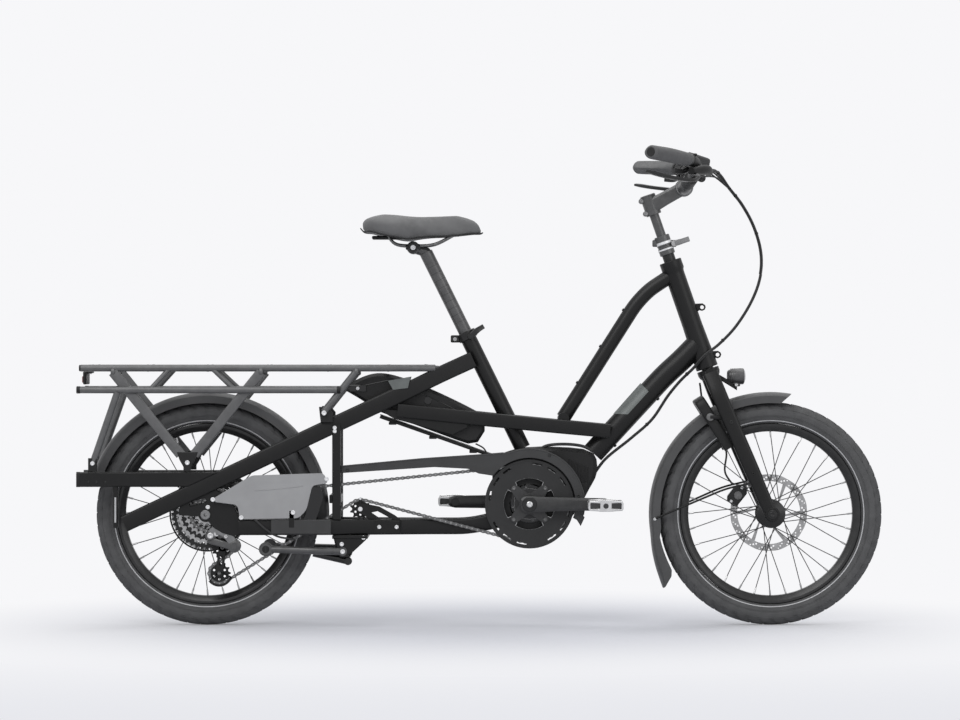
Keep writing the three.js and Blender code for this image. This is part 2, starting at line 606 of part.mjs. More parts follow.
function rack() {
  const stays = bothUpperStays(SEAT_GAP);
  const deck = [pair(deckRail())];
  for (const share of DECK_CROSS_SHARES) {
    const x = DECK_REAR_X + (DECK_FRONT_X - DECK_REAR_X) * share;
    const reach = share > 0.9 ? DECK_Y - CROSS_RADIUS : DECK_Y;
    deck.push(rod(at([x, DECK_Z], -reach), at([x, DECK_Z], reach), CROSS_RADIUS, 8));
  }
  add('rack_deck', cut(join(deck), stays, wheelRoom(REAR_AXLE)), grey);

  const strut = (from, to, yFrom, yTo, radius = RAIL_RADIUS) => rod(at(from, -yFrom), at(to, -yTo), radius, 8);
  const spread = RAIL_RADIUS * 2;
  const brace = ([topX, lowX]) =>
    strut([topX, DECK_Z], [lowX, LOW_RAIL_Z], DECK_Y, LOW_RAIL_Y, RAIL_RADIUS * 0.7);
  const topY = DECK_Y + RAIL_RADIUS * 0.3;
  const footBox = (place, width) => box(
    [place[0] - width / 2, place[0] + width / 2], [-REAR_Y - RAIL_RADIUS, -REAR_Y + RAIL_RADIUS * 0.4],
    [tailTop + SEAT_GAP, place[1] + RAIL_RADIUS * 2],
  );
  const frontTab = box(
    [FRONT_STRUT_FOOT[0] - RAIL_RADIUS, FRONT_STRUT_FOOT[0] + RAIL_RADIUS * 2.4],
    [-LOW_RAIL_Y + RAIL_RADIUS, -STAY_Y_POST - STAY_THICK / 2],
    [STAY_POST[1] + RAIL_RADIUS * 0.5, FRONT_STRUT_FOOT[1]],
  );
  const side = join([
    strut([TAIL_END_X, LOW_RAIL_Z], [LOW_RAIL_FRONT_X, LOW_RAIL_Z], LOW_RAIL_Y, LOW_RAIL_Y),
    strut([STRUT_FOOT[0] - spread, STRUT_FOOT[1] + spread], STRUT_REAR_TOP, REAR_Y, topY),
    strut([STRUT_FOOT[0] + spread, STRUT_FOOT[1] + spread], STRUT_FRONT_TOP, REAR_Y, topY),
    strut(LOWER_REAR_FOOT, LOWER_REAR_TOP, REAR_Y, LOW_RAIL_Y),
    strut(FRONT_STRUT_FOOT, FRONT_STRUT_TOP, LOW_RAIL_Y - RAIL_RADIUS, topY),
    brace(REAR_BRACE), brace(FRONT_BRACE),
    footBox(STRUT_FOOT, POST_WIDTH * 2), footBox(LOWER_REAR_FOOT, POST_WIDTH), frontTab,
  ]);
  const trimmed = cut(side, deckRail(SEAT_GAP), stays);
  const main = largest(trimmed);
  add('rack_side_right', main, grey);
  add('rack_side_left', mirrored(main), grey);
  const lamp = box(
    [DECK_REAR_X, DECK_REAR_X + RAIL_RADIUS], [-POST_WIDTH * 2, POST_WIDTH * 2],
    [DECK_Z - POST_WIDTH * 2, DECK_Z - CROSS_RADIUS],
  );
  const crossX = DECK_REAR_X + (DECK_FRONT_X - DECK_REAR_X) * DECK_CROSS_SHARES[0];
  const hanger = box(
    [DECK_REAR_X, crossX + CROSS_RADIUS], [-POST_WIDTH, POST_WIDTH], [DECK_Z - RAIL_RADIUS * 2, DECK_Z],
  );
  const crossTube = disc([crossX, DECK_Z], CROSS_RADIUS + SEAT_GAP, -DECK_Y, DECK_Y, 8);
  add('tail_light', cut(lamp.add(hanger), crossTube), plastic);
}

// Battery, its cradle and the motor
const BATTERY_CORNER = [-309, 144];
const BATTERY_SIZE = [320, 182];
const BATTERY_BELLY_SHARES = [[0.8, 0.145], [0.25, 0.5]];
const BATTERY_SHARES = [
  [0, 0.77], [0.03, 0.86], [0.12, 0.95], [0.22, 0.995], [0.34, 0.97], [0.6, 0.8], [0.93, 0.52], [1, 0.44],
  [1, 0.26], [0.95, 0.12], [0.88, 0.1], ...BATTERY_BELLY_SHARES, [0.08, 0.69],
];
const CRADLE_HALF_HEIGHT = 4.6;
const CRADLE_LENGTH_SHARE = 1.65;

function powerUnit() {
  const outline = shared(BATTERY_CORNER, BATTERY_SIZE, BATTERY_SHARES);
  const half = STAY_Y_JOIN - STAY_THICK - SEAT_GAP;
  const frameParts = [bothUpperStays(SEAT_GAP), bothSideBars(SEAT_GAP), seatTube(SEAT_GAP)];
  add('battery', cut(plate(outline, -half, half), ...frameParts), plastic);

  const [front, rear] = shared(BATTERY_CORNER, BATTERY_SIZE, BATTERY_BELLY_SHARES);
  const slope = Math.hypot(front[0] - rear[0], front[1] - rear[1]) / (front[0] - rear[0]);
  const drop = (CRADLE_HALF_HEIGHT + SEAT_GAP) * slope;
  const line = [rear, mix(rear, front, CRADLE_LENGTH_SHARE)];
  const rail = sweep(line.map(([x, z]) => at([x, z - drop], 0)), boxSection(half * 0.8, CRADLE_HALF_HEIGHT));
  add('battery_cradle', cut(rail, motorBlank(SEAT_GAP), ...frameParts), steel);
  const bore = disc(BB, SPINDLE_RADIUS + SEAT_GAP, -MOTOR_HALF_WIDTH * 2, MOTOR_HALF_WIDTH * 2, 16);
  add('motor', cut(motorBlank(), bore), plastic);
}

// Wheels, built about their own axle and then placed
function wheel(name, axle, hubSizes) {
  const group = new THREE.Group();
  group.position.set(axle[0], 0, axle[1]);
  bike.add(group);
  const origin = [0, 0];
  const foot = TYRE_RADIUS / Math.cos(Math.PI / WHEEL_SIDES);
  const bead = RIM_RADIUS + SEAT_GAP;
  const belly = (TYRE_RADIUS + RIM_RADIUS) / 2;
  const tyre = [
    [bead, RIM_HALF_WIDTH * 0.8], [belly, TYRE_HALF_WIDTH],
    [TYRE_RADIUS - TYRE_HEIGHT * 0.18, TYRE_HALF_WIDTH * 0.8], [foot, TYRE_FOOT_HALF_WIDTH],
  ];
  const both = (side) => [...side, ...side.slice().reverse().map(([r, y]) => [r, -y])];
  add(`${name}_tyre`, turned(both(tyre), origin), rubber, group);
  const lip = RIM_HALF_WIDTH * 0.8;
  const rim = [
    [RIM_INNER_RADIUS, RIM_HALF_WIDTH * 0.35], [RIM_RADIUS - RIM_DEPTH / 3, RIM_HALF_WIDTH], [RIM_RADIUS, lip],
  ];
  add(`${name}_rim`, turned(both(rim), origin), black, group);
  add(`${name}_hub`, hub(hubSizes), black, group);
  return group;
}

function hub({ half, shell, flanges: [flangeRight, flangeLeft], rotorY }) {
  const origin = [0, 0];
  const flangeRadius = Math.max(shell, REAR_HUB_SHELL * 1.3);
  const lip = COG_THICK;
  const parts = [turned([
    [0, -half], [HUB_AXLE_RADIUS, -half],
    [HUB_AXLE_RADIUS, flangeRight - lip], [flangeRadius, flangeRight - lip],
    [flangeRadius, flangeRight + lip],
    [shell * 0.9, flangeRight + lip * 2], [shell * 0.9, flangeLeft - lip * 2],
    [flangeRadius, flangeLeft - lip], [flangeRadius, flangeLeft + lip], [HUB_AXLE_RADIUS, flangeLeft + lip],
    [HUB_AXLE_RADIUS, half], [0, half],
  ], origin, 12)];
  const reach = RIM_INNER_RADIUS * Math.cos(Math.PI / WHEEL_SIDES) - SEAT_GAP;
  for (let i = 0; i < SPOKE_COUNT; i += 1) {
    const side = i % 2 ? flangeRight : flangeLeft;
    const lean = (i % 4 < 2 ? 1 : -1) * 0.75;
    const rimAngle = (i + 0.5) / SPOKE_COUNT * Math.PI * 2;
    const hubAngle = rimAngle + lean;
    const step = (i % 4 < 2 ? 1 : -1) * SPOKE_RADIUS * 1.3;
    const root = flangeRadius - SPOKE_RADIUS * 2;
    const from = new THREE.Vector3(Math.cos(hubAngle) * root, side + step, Math.sin(hubAngle) * root);
    const to = new THREE.Vector3(Math.cos(rimAngle) * reach, step, Math.sin(rimAngle) * reach);
    parts.push(rod(from, to, SPOKE_RADIUS, 3));
  }
  parts.push(rotor(rotorY));
  return join(parts);
}

function rotor(y) {
  return spokedDisc({
    centre: [0, 0], outer: ROTOR_RADIUS, hole: 0, windows: 6, radii: [0.34, 1 - ROTOR_TRACK / ROTOR_RADIUS],
    lowY: y - ROTOR_THICK / 2, highY: y + ROTOR_THICK / 2, share: 0.8, twist: 0.25,
  });
}

function cassette() {
  const kept = COG_STEP_TEETH.filter((teeth, i) => i % 2 === 1 || i === 0);
  const bore = HUB_AXLE_RADIUS + SEAT_GAP;
  const first = CHAIN_Y + COG_SPACING * COG_STEP_TEETH.indexOf(COG_TEETH);
  const profile = [[bore, first + COG_THICK / 2]];
  let from = first + COG_THICK / 2;
  for (const teeth of kept) {
    const to = first - COG_SPACING * COG_STEP_TEETH.indexOf(teeth) - COG_THICK / 2;
    const radius = pitchRadius(teeth) - (teeth > COG_TEETH ? 0 : CHAIN_HALF_HEIGHT + RUNNING_GAP);
    profile.push([radius, from], [radius, to]);
    from = to;
  }
  profile.push([bore, from]);
  return turned(profile, [0, 0], 24);
}

function wheels() {
  const rear = wheel('rear', REAR_AXLE, {
    half: REAR_HUB_HALF, shell: REAR_HUB_SHELL,
    flanges: [-REAR_HUB_SHELL, REAR_HUB_SHELL * 1.4], rotorY: REAR_ROTOR_Y,
  });
  wheel('front', FRONT_AXLE, {
    half: FRONT_HUB_HALF, shell: FRONT_HUB_SHELL,
    flanges: [-FRONT_HUB_SHELL, FRONT_HUB_SHELL], rotorY: FRONT_ROTOR_Y,
  });
  add('cassette', cassette(), steel, rear);
}

// Chain path round pulleys given as {place, radius, turn}, where turn is 1 for forward and -1 for back
function beltPath(pulleys) {
  const points = [];
  const touch = pulleys.map((pulley, i) => {
    const next = pulleys[(i + 1) % pulleys.length];
    const dx = next.place[0] - pulley.place[0];
    const dz = next.place[1] - pulley.place[1];
    const span = Math.hypot(dx, dz);
    const heading = Math.atan2(dz, dx);
    const lean = Math.asin((pulley.radius * pulley.turn - next.radius * next.turn) / span);
    const normal = heading + Math.PI / 2 - lean;
    return { leave: normal + (pulley.turn < 0 ? Math.PI : 0), arrive: normal + (next.turn < 0 ? Math.PI : 0) };
  });
  pulleys.forEach((pulley, i) => {
    const start = touch[(i + pulleys.length - 1) % pulleys.length].arrive;
    const way = (start - touch[i].leave) * pulley.turn;
    const turnBy = -pulley.turn * THREE.MathUtils.euclideanModulo(way, Math.PI * 2);
    const steps = Math.max(2, Math.ceil(Math.abs(turnBy) / CHAIN_STEP_ANGLE));
    points.push(...arc(pulley.place, pulley.radius, start, start + turnBy, steps).map((p) => [p.x, p.y]));
  });
  return points;
}

const pitchRadius = (teeth) => teeth * CHAIN_PITCH / (Math.PI * 2);

function chainPulleys(shift) {
  return [
    { place: REAR_AXLE, radius: pitchRadius(COG_TEETH) + shift, turn: 1 },
    { place: BB, radius: pitchRadius(RING_TEETH) + shift, turn: 1 },
    { place: IDLER, radius: pitchRadius(IDLER_TEETH) - shift, turn: -1 },
    { place: TENSION_PULLEY, radius: pitchRadius(PULLEY_TEETH) + shift, turn: 1 },
    { place: GUIDE_PULLEY, radius: pitchRadius(PULLEY_TEETH) - shift, turn: -1 },
  ];
}

function chainLoop() {
  const layer = (shift, half) => plate(beltPath(chainPulleys(shift)), CHAIN_Y - half, CHAIN_Y + half);
  return cut(layer(CHAIN_HALF_HEIGHT, CHAIN_HALF_WIDTH), layer(-CHAIN_HALF_HEIGHT, CHAIN_HALF_WIDTH * 2));
}

function arc(centre, radius, from, to, steps) {
  const points = [];
  for (let i = 0; i <= steps; i += 1) {
    const angle = from + (to - from) * i / steps;
    points.push(new THREE.Vector2(centre[0] + Math.cos(angle) * radius, centre[1] + Math.sin(angle) * radius));
  }
  return points;
}

// A round plate with a centre hole and windows between two radii, given as shares of the outer radius
function spokedDisc({ centre, outer, hole, windows, lowY, highY, radii, share = 0.62, twist = 0, phase = 0 }) {
  const full = Math.PI * 2;
  const shape = new THREE.Shape(arc(centre, outer, 0, full * (1 - 1 / 32), 31));
  if (hole) shape.holes.push(new THREE.Path(arc(centre, hole, 0, full * (1 - 1 / 16), 15)));
  for (let i = 0; i < windows; i += 1) {
    const start = (i + phase + (1 - share) / 2) / windows * full;
    const end = start + share / windows * full;
    const rimArc = arc(centre, outer * radii[1], start, end, 3);
    const coreArc = arc(centre, outer * radii[0], end + twist, start + twist, 2);
    shape.holes.push(new THREE.Path([...rimArc, ...coreArc]));
  }
  return extrudeAcross(shape, lowY, highY);
}

function pulley(place, teeth) {
  const outer = pitchRadius(teeth) - CHAIN_HALF_HEIGHT - RUNNING_GAP;
  const bore = HUB_AXLE_RADIUS / 2 + SEAT_GAP;
  return cut(
    disc(place, outer, CHAIN_Y - CHAIN_HALF_WIDTH, CHAIN_Y + CHAIN_HALF_WIDTH, 14),
    disc(place, bore, CHAIN_Y - CHAIN_HALF_WIDTH * 2, CHAIN_Y + CHAIN_HALF_WIDTH * 2, 12),
  );
}

function driveTrain() {
  const ringOuter = pitchRadius(RING_TEETH) - CHAIN_HALF_HEIGHT - RUNNING_GAP * 3;
  const hole = SPINDLE_RADIUS + SEAT_GAP;
  const discY = CHAIN_Y - CHAIN_HALF_WIDTH - RUNNING_GAP - COG_THICK;
  const guard = spokedDisc({
    centre: BB, outer: GUARD_DISC_RADIUS, hole, windows: 4, phase: 0.5, radii: [0.36, 0.58],
    lowY: discY - COG_THICK * 2, highY: discY,
  });
  const toothed = turned([
    [ringOuter * 0.86, discY - COG_THICK], [ringOuter * 0.95, discY - COG_THICK],
    [ringOuter * 0.95, CHAIN_Y - COG_THICK], [ringOuter, CHAIN_Y - COG_THICK],
    [ringOuter, CHAIN_Y + COG_THICK], [ringOuter * 0.86, CHAIN_Y + COG_THICK],
  ], BB, 32);
  add('chainring', guard.add(toothed), plastic);
  const crank = (sign) => {
    const y = sign * CRANK_Y;
    const end = [BB[0] - sign * CRANK_LENGTH, BB[1]];
    const arm = sweep(
      [-0.07, 0.1, 0.92, 1.06].map((share) => at(mix(BB, end, share), y)),
      boxSection(CRANK_THICK / 2, CRANK_THICK * 0.9), { scales: [0.9, 1.25, 0.85, 0.7] },
    );
    const thread = disc(end, HUB_AXLE_RADIUS + SEAT_GAP, y - CRANK_THICK, y + CRANK_THICK, 12);
    return cut(arm, thread);
  };
  const spindle = disc(BB, SPINDLE_RADIUS, -CRANK_Y, CRANK_Y, 16);
  add('crankset', join([crank(-1), crank(1), spindle]), steel);
  const pedal = (sign) => {
    const centre = [BB[0] - sign * CRANK_LENGTH, BB[1]];
    const low = PEDAL_Y - PEDAL_HALF_WIDTH;
    const frameBox = box(
      [centre[0] - PEDAL_LENGTH / 2, centre[0] + PEDAL_LENGTH / 2], [low, low + PEDAL_HALF_WIDTH * 2],
      [centre[1] - PEDAL_THICK / 2, centre[1] + PEDAL_THICK / 2],
    );
    const rim = PEDAL_THICK * 0.4;
    const pocket = (from, to) => box(
      [centre[0] + PEDAL_LENGTH * from, centre[0] + PEDAL_LENGTH * to],
      [low + rim, low + PEDAL_HALF_WIDTH * 2 - rim], [centre[1] - PEDAL_THICK, centre[1] + PEDAL_THICK],
    );
    const axle = disc(centre, HUB_AXLE_RADIUS, CRANK_Y - CRANK_THICK / 2, low + rim, 12);
    const body = cut(frameBox, pocket(-0.4, -0.12), pocket(0.12, 0.4)).add(axle);
    return sign > 0 ? body : mirrored(body);
  };
  add('pedal_right', pedal(-1), silver);
  add('pedal_left', pedal(1), silver);
  add('chain', chainLoop(), steel);
  add('idler_pulley', pulley(IDLER, IDLER_TEETH), plastic);
  add('guide_pulley', pulley(GUIDE_PULLEY, PULLEY_TEETH), plastic);
  add('tension_pulley', pulley(TENSION_PULLEY, PULLEY_TEETH), plastic);
  derailleur();
  chainGuard();
}

function derailleur() {
  const cageOuter = CHAIN_Y - CHAIN_HALF_WIDTH - RUNNING_GAP * 3;
  const cageInner = cageOuter - COG_THICK * 1.5;
  const wide = HUB_AXLE_RADIUS * 1.5;
  const link = (a, b, radius, low, high) => {
    const heading = Math.atan2(b[1] - a[1], b[0] - a[0]);
    const shape = new THREE.Shape();
    shape.absarc(a[0], a[1], radius, heading + Math.PI / 2, heading + Math.PI * 1.5);
    shape.absarc(b[0], b[1], radius, heading - Math.PI / 2, heading + Math.PI / 2);
    return extrudeAcross(shape, low, high);
  };
  const pin = (place) =>
    disc(place, HUB_AXLE_RADIUS / 2, cageOuter - COG_THICK, CHAIN_Y + CHAIN_HALF_WIDTH, 12);
  const cage = join([
    link(CAGE_PIVOT, GUIDE_PULLEY, wide, cageInner, cageOuter),
    link(GUIDE_PULLEY, TENSION_PULLEY, wide, cageInner, cageOuter),
    pin(GUIDE_PULLEY), pin(TENSION_PULLEY),
    disc(CAGE_PIVOT, wide * 1.2, cageInner - COG_THICK, cageInner, 14),
  ]);
  add('derailleur_cage', cage, steel);
  const faceY = cageInner - COG_THICK - SEAT_GAP;
  const mountFace = -REAR_HUB_HALF + RUNNING_GAP / 3;
  const hangerPlace = [REAR_AXLE[0] + CHAINSTAY_HEIGHT * 0.3, REAR_AXLE[1] - CHAINSTAY_HEIGHT * 1.35];
  const knuckle = disc(CAGE_PIVOT, wide * 1.8, faceY - POST_WIDTH, faceY, 16);
  const arm = link(hangerPlace, CAGE_PIVOT, wide * 1.2, mountFace, faceY);
  add('derailleur_body', join([knuckle, arm]), plastic);
}

// Cover over the upper chain run that curls round the front of the guard disc
function chainGuard() {
  const outerY = CHAIN_Y - CHAIN_HALF_WIDTH * 5;
  const innerY = CHAIN_Y + CHAIN_HALF_WIDTH;
  const deep = CHAINSTAY_HEIGHT * 0.42;
  const clear = GUARD_DISC_RADIUS + RUNNING_GAP * 5;
  const start = [STAY_POST[0] + POST_WIDTH * 0.7 + SEAT_GAP, BB[1] + GUARD_DISC_RADIUS * 0.69 + deep];
  const knee = mix(start, BB, 0.43)[0];
  const shape = new THREE.Shape();
  shape.moveTo(start[0], start[1]);
  shape.lineTo(knee, start[1] + deep * 1.15);
  shape.lineTo(BB[0] - GUARD_DISC_RADIUS * 0.6, BB[1] + clear + CHAIN_GUARD_RISE * 0.65);
  const from = Math.PI * 0.62;
  const to = -Math.PI * 0.16;
  shape.absarc(BB[0], BB[1], clear + CHAIN_GUARD_RISE, from, to, true);
  shape.absarc(BB[0], BB[1], clear, to, from, false);
  shape.lineTo(BB[0] - GUARD_DISC_RADIUS * 0.95, BB[1] + GUARD_DISC_RADIUS * 0.88);
  shape.lineTo(knee, start[1] - deep * 0.2);
  shape.lineTo(start[0], start[1] - deep);
  const cover = extrudeAcross(shape, outerY, innerY);
  const lug = box(
    [BB[0] + clear * 0.2, BB[0] + clear * 0.5], [innerY - CHAIN_HALF_WIDTH, -MOTOR_HALF_WIDTH - SEAT_GAP],
    [BB[1] + clear, BB[1] + clear + CHAIN_GUARD_RISE],
  );
  const chainRoom = plate(beltPath(chainPulleys(CHAIN_HALF_HEIGHT + RUNNING_GAP)), outerY * 2, 0);
  add('chain_guard', cut(cover, chainRoom).add(lug), plastic);
}

// Fork, front fender, lamp and wheel lock
function forkLeg(grow = 0) {
  const path = [CROWN, mix(LEG_TOP, LEG_END, 0.12), mix(LEG_TOP, LEG_END, 0.7), LEG_END];
  const across = [FORK_Y * 0.75, FORK_Y, FORK_Y * 1.02, FRONT_HUB_HALF + LEG_HALF_WIDTH + SEAT_GAP];
  const section = boxSection(LEG_HALF_WIDTH + grow, LEG_HALF_DEPTH + grow, LEG_HALF_WIDTH * 0.6);
  return sweep(path.map((p, i) => at(p, -across[i])), section, { scales: [1, 1, 0.95, 0.85] });
}

const bothLegs = (grow) => pair(forkLeg(grow));

// The arm from the crown that holds the lamp
function lampArm(grow = 0) {
  const size = [LEG_HALF_DEPTH * 3.6, LEG_HALF_DEPTH * 2.2];
  const corner = [CROWN[0], CROWN[1] - size[1]];
  const shares = [[0, 0.77], [1, 0], [1, 0.32], [0.28, 1]];
  const outline = shared(corner, size, shares).map(([x, z], i) => [x, i > 1 ? z + grow : z]);
  return plate(outline, -LEG_HALF_WIDTH - grow, LEG_HALF_WIDTH + grow);
}

function fork() {
  const crown = rod(at(CROWN, -FORK_Y * 0.85), at(CROWN, FORK_Y * 0.85), LEG_HALF_DEPTH * 0.62, 16);
  const boss = rod(at(headAxis(1.012), 0), at(headAxis(1.1), 0), HEAD_BELL_RADIUS, 16);
  const steerer = rod(at(headAxis(1.05), 0), at(headAxis(STEERER_TOP_SHARE), 0), STEERER_RADIUS, 16);
  const boreRadius = MAST_RADIUS + SEAT_GAP;
  const bore = rod(at(headAxis(MAST_BORE_SHARE), 0), at(headAxis(CLAMP_TOP_SHARE), 0), boreRadius, 16);
  const tipOuter = FRONT_HUB_HALF + LEG_HALF_WIDTH * 2;
  const tip = disc(FRONT_AXLE, LEG_HALF_DEPTH, -tipOuter, -FRONT_HUB_HALF - SEAT_GAP, 14);
  const room = wheelRoom(FRONT_AXLE);
  add('fork', cut(join([bothLegs(0), crown, boss, steerer, lampArm(), pair(tip)]), bore, room), black);
}

// A mudguard is an arched strip: a crown with a skirt on each side
function fenderBody(axle, fromDegrees, toDegrees) {
  const inner = TYRE_RADIUS + FENDER_GAP;
  const skirt = inner - FENDER_SKIRT;
  const outer = fenderOuter();
  const w = FENDER_HALF_WIDTH;
  const t = FENDER_WALL;
  const profile = [
    [skirt, w], [inner + t, w], [outer, w * 0.5], [outer, -w * 0.5], [inner + t, -w], [skirt, -w],
    [skirt, -w + t], [inner, -w + t], [outer - t, -w * 0.45],
    [outer - t, w * 0.45], [inner, w - t], [skirt, w - t],
  ];
  const points = profile.map(([r, y]) => new THREE.Vector2(r, y));
  points.push(points[0].clone());
  const ring = solid(new THREE.LatheGeometry(points, 40));
  const reach = outer * 1.2;
  const from = THREE.MathUtils.degToRad(fromDegrees);
  const to = THREE.MathUtils.degToRad(toDegrees);
  const sector = new THREE.Shape([new THREE.Vector2(0, 0), ...arc([0, 0], reach, from, to, 12)]);
  return ring.intersect(extrudeAcross(sector, -w * 2, w * 2)).translate([axle[0], 0, axle[1]]);
}

function fenders() {
  add('rear_fender', fenderBody(REAR_AXLE, REAR_FENDER_DEGREES[0], REAR_FENDER_DEGREES[1]), grey);
  const front = fenderBody(FRONT_AXLE, FRONT_FENDER_DEGREES[0], FRONT_FENDER_DEGREES[1]);
  const flapShares = [[0.9, 1.06], [1.25, 1.12], [1.75, 1.195], [1.25, 1.19], [0.6, 1.18], [0.2, 1.17]];
  const flapShape = new THREE.Shape([
    ...flapShares.map(([out, turn]) => arc(
      FRONT_AXLE, TYRE_RADIUS + (FENDER_GAP + FENDER_RISE) * out, Math.PI * turn, Math.PI * turn, 1,
    )[0]),
    ...arc(FRONT_AXLE, TYRE_RADIUS + FENDER_GAP / 3, Math.PI * 1.165, Math.PI * 1.06, 4),
  ]);
  const flap = extrudeAcross(flapShape, -FENDER_HALF_WIDTH * 0.9, FENDER_HALF_WIDTH * 0.9);
  const wireTop = mix(LEG_TOP, LEG_END, 0.79);
  const wireY = FENDER_HALF_WIDTH - FENDER_WALL / 2;
  const wire = sweep([
    at([wireTop[0] - LEG_HALF_DEPTH * 0.6, wireTop[1]], -FORK_Y - LEG_HALF_WIDTH * 0.5),
    at([wireTop[0] - LEG_HALF_DEPTH * 4, wireTop[1] - LEG_HALF_DEPTH * 0.8], -FORK_Y),
    at([FRONT_AXLE[0] - TYRE_RADIUS - FENDER_GAP + FENDER_WALL / 2, FRONT_AXLE[1] - FENDER_GAP], -wireY),
  ], roundSection(FENDER_WALL, 6));
  add('front_fender', largest(cut(join([front, flap, pair(wire)]), bothLegs(SEAT_GAP))), grey);
}

function headlight() {
  const centre = [CROWN[0] + LEG_HALF_DEPTH * 3.5, CROWN[1] - LEG_HALF_DEPTH * 0.4];
  const places = [-LAMP_HALF_LENGTH, -LAMP_HALF_LENGTH * 0.6, LAMP_HALF_LENGTH * 0.6, LAMP_HALF_LENGTH * 0.95];
  const shell = sweep(places.map((x) => at([centre[0] + x, centre[1]], 0)), roundSection(LEG_HALF_DEPTH, 16), {
    scales: [0.75, 1, 1.05, 0.9],
  });
  const foot = box(
    [centre[0] - LEG_HALF_WIDTH, centre[0] + LEG_HALF_WIDTH], [-LEG_HALF_WIDTH, LEG_HALF_WIDTH],
    [centre[1] - LEG_HALF_DEPTH * 1.3, centre[1]],
  );
  add('headlight', cut(shell.add(foot), lampArm(SEAT_GAP), wheelRoom(FRONT_AXLE)), plastic);
}

// A horseshoe shell on the back of the fork that reaches round the tyre to the rim
function wheelLock() {
  const angle = THREE.MathUtils.degToRad(LOCK_DEGREES);
  const half = STEERER_RADIUS * 0.9;
  const halfWidth = FORK_Y * 0.8;
  const inner = FENDER_HALF_WIDTH + RUNNING_GAP * 3;
  const low = RIM_INNER_RADIUS - POST_WIDTH / 2;
  const top = fenderOuter() + FENDER_RISE * 3;
  const hole = fenderOuter() + RUNNING_GAP * 3;
  const side = [
    [low, halfWidth], [top - FENDER_RISE, halfWidth], [top, halfWidth * 0.6],
    [hole, inner * 0.75], [hole - FENDER_RISE / 2, inner], [low, inner],
  ];
  const outside = side.slice(0, 3);
  const inside = side.slice(3);
  const other = (points) => points.map(([r, y]) => [r, -y]);
  const loop = [...other(outside), ...outside.reverse(), ...inside.slice().reverse(), ...other(inside)];
  const shape = new THREE.Shape(loop.map(([r, y]) => new THREE.Vector2(r, y)));
  const geometry = new THREE.ExtrudeGeometry(shape, { depth: half * 2, bevelEnabled: false });
  geometry.translate(0, 0, -half);
  geometry.rotateY(-angle);
  geometry.translate(FRONT_AXLE[0], 0, FRONT_AXLE[1]);
  const [x, z] = arc(FRONT_AXLE, TYRE_RADIUS + FENDER_GAP / 2, angle, angle, 1)[0].toArray();
  const lugY = -FORK_Y + LEG_HALF_WIDTH * 1.4;
  const lug = rod(at([x, z], lugY), at([x + LOCK_LUG_LENGTH, z], lugY), half / 2, 10);
  add('wheel_lock', cut(solid(geometry).add(pair(lug)), bothLegs(SEAT_GAP)), plastic);
}

function caliperBlock(place, low, high) {
  const long = CALIPER_LENGTH * 0.6;
  const tall = CALIPER_LENGTH * 0.36;
  return box([place[0] - long, place[0] + long], [low, high], [place[1] - tall, place[1] + tall]);
}

function calipers() {
  const slot = (axle, y) => disc(axle, ROTOR_RADIUS + RUNNING_GAP * 2, y - ROTOR_THICK, y + ROTOR_THICK, 40);
  const frontPlace = [FRONT_AXLE[0] - ROTOR_RADIUS * 0.82, FRONT_AXLE[1] + ROTOR_RADIUS * 0.46];
  const body = caliperBlock(frontPlace, FRONT_ROTOR_Y - CALIPER_INSIDE, FORK_Y - LEG_HALF_WIDTH);
  const ear = box(
    [frontPlace[0], FRONT_AXLE[0]], [FRONT_ROTOR_Y + CALIPER_INSIDE / 2, FORK_Y],
    [frontPlace[1] - CALIPER_INSIDE, frontPlace[1]],
  );
  const tip = disc(FRONT_AXLE, LEG_HALF_DEPTH + RUNNING_GAP * 2, FRONT_HUB_HALF - COG_THICK, FORK_Y * 2, 14);
  const front = cut(body.add(ear), slot(FRONT_AXLE, FRONT_ROTOR_Y), bothLegs(SEAT_GAP), tip);
  add('front_caliper', largest(front), plastic);
  const rearPlace = [REAR_AXLE[0] + ROTOR_RADIUS * 0.72, REAR_AXLE[1] + ROTOR_RADIUS * 0.7];
  const rear = cut(
    caliperBlock(rearPlace, REAR_ROTOR_Y - CALIPER_INSIDE, REAR_Y - STAY_THICK / 2 - SEAT_GAP),
    slot(REAR_AXLE, REAR_ROTOR_Y), mirrored(upperStay(SEAT_GAP)), mirrored(dropout()),
  );
  add('rear_caliper', rear, plastic);
}

// Cockpit. The bar's places are shares of its half span across, of its sweep back and of its rise
function barPath() {
  const rows = [[0, 0, 0], [0.13, 0, 0], [0.32, -0.22, 0.5], [0.53, -0.13, 0.78], [0.78, 0.4, 0.92], [1, 1, 1]];
  return curve(rows.map(([across, back, up]) => new THREE.Vector3(
    STEM_TIP[0] - BAR_SWEEP * back, BAR_HALF_SPAN * across, STEM_TIP[1] + BAR_RISE * up,
  )), 11);
}

function halfBar(grow = 0) {
  const path = barPath();
  const scales = path.map((p) => (p.y < BAR_CENTRE_HALF ? BAR_RADIUS : BAR_END_RADIUS) + grow);
  return sweep(path, roundSection(1, 10), { side: CROSS_AXIS, scales });
}

function barPoint(y) {
  const path = barPath();
  const next = path.findIndex((p) => p.y > y);
  const share = (y - path[next - 1].y) / (path[next].y - path[next - 1].y);
  return path[next - 1].clone().lerp(path[next], share);
}

// A run of the bar between two places across, for whatever is clamped on it
function barRun(from, to) {
  const between = barPath().filter((p) => p.y > from && p.y < to);
  return [barPoint(from), ...between, barPoint(to)];
}

const offsetFrom = (p, back, across, up) => new THREE.Vector3(p.x - back, across, p.z + up);

function mast() {
  const tube = rod(at(headAxis(MAST_FOOT_SHARE), 0), at(headAxis(MAST_TOP_SHARE), 0), MAST_RADIUS, 16);
  add('bar_post', tube, black);
}

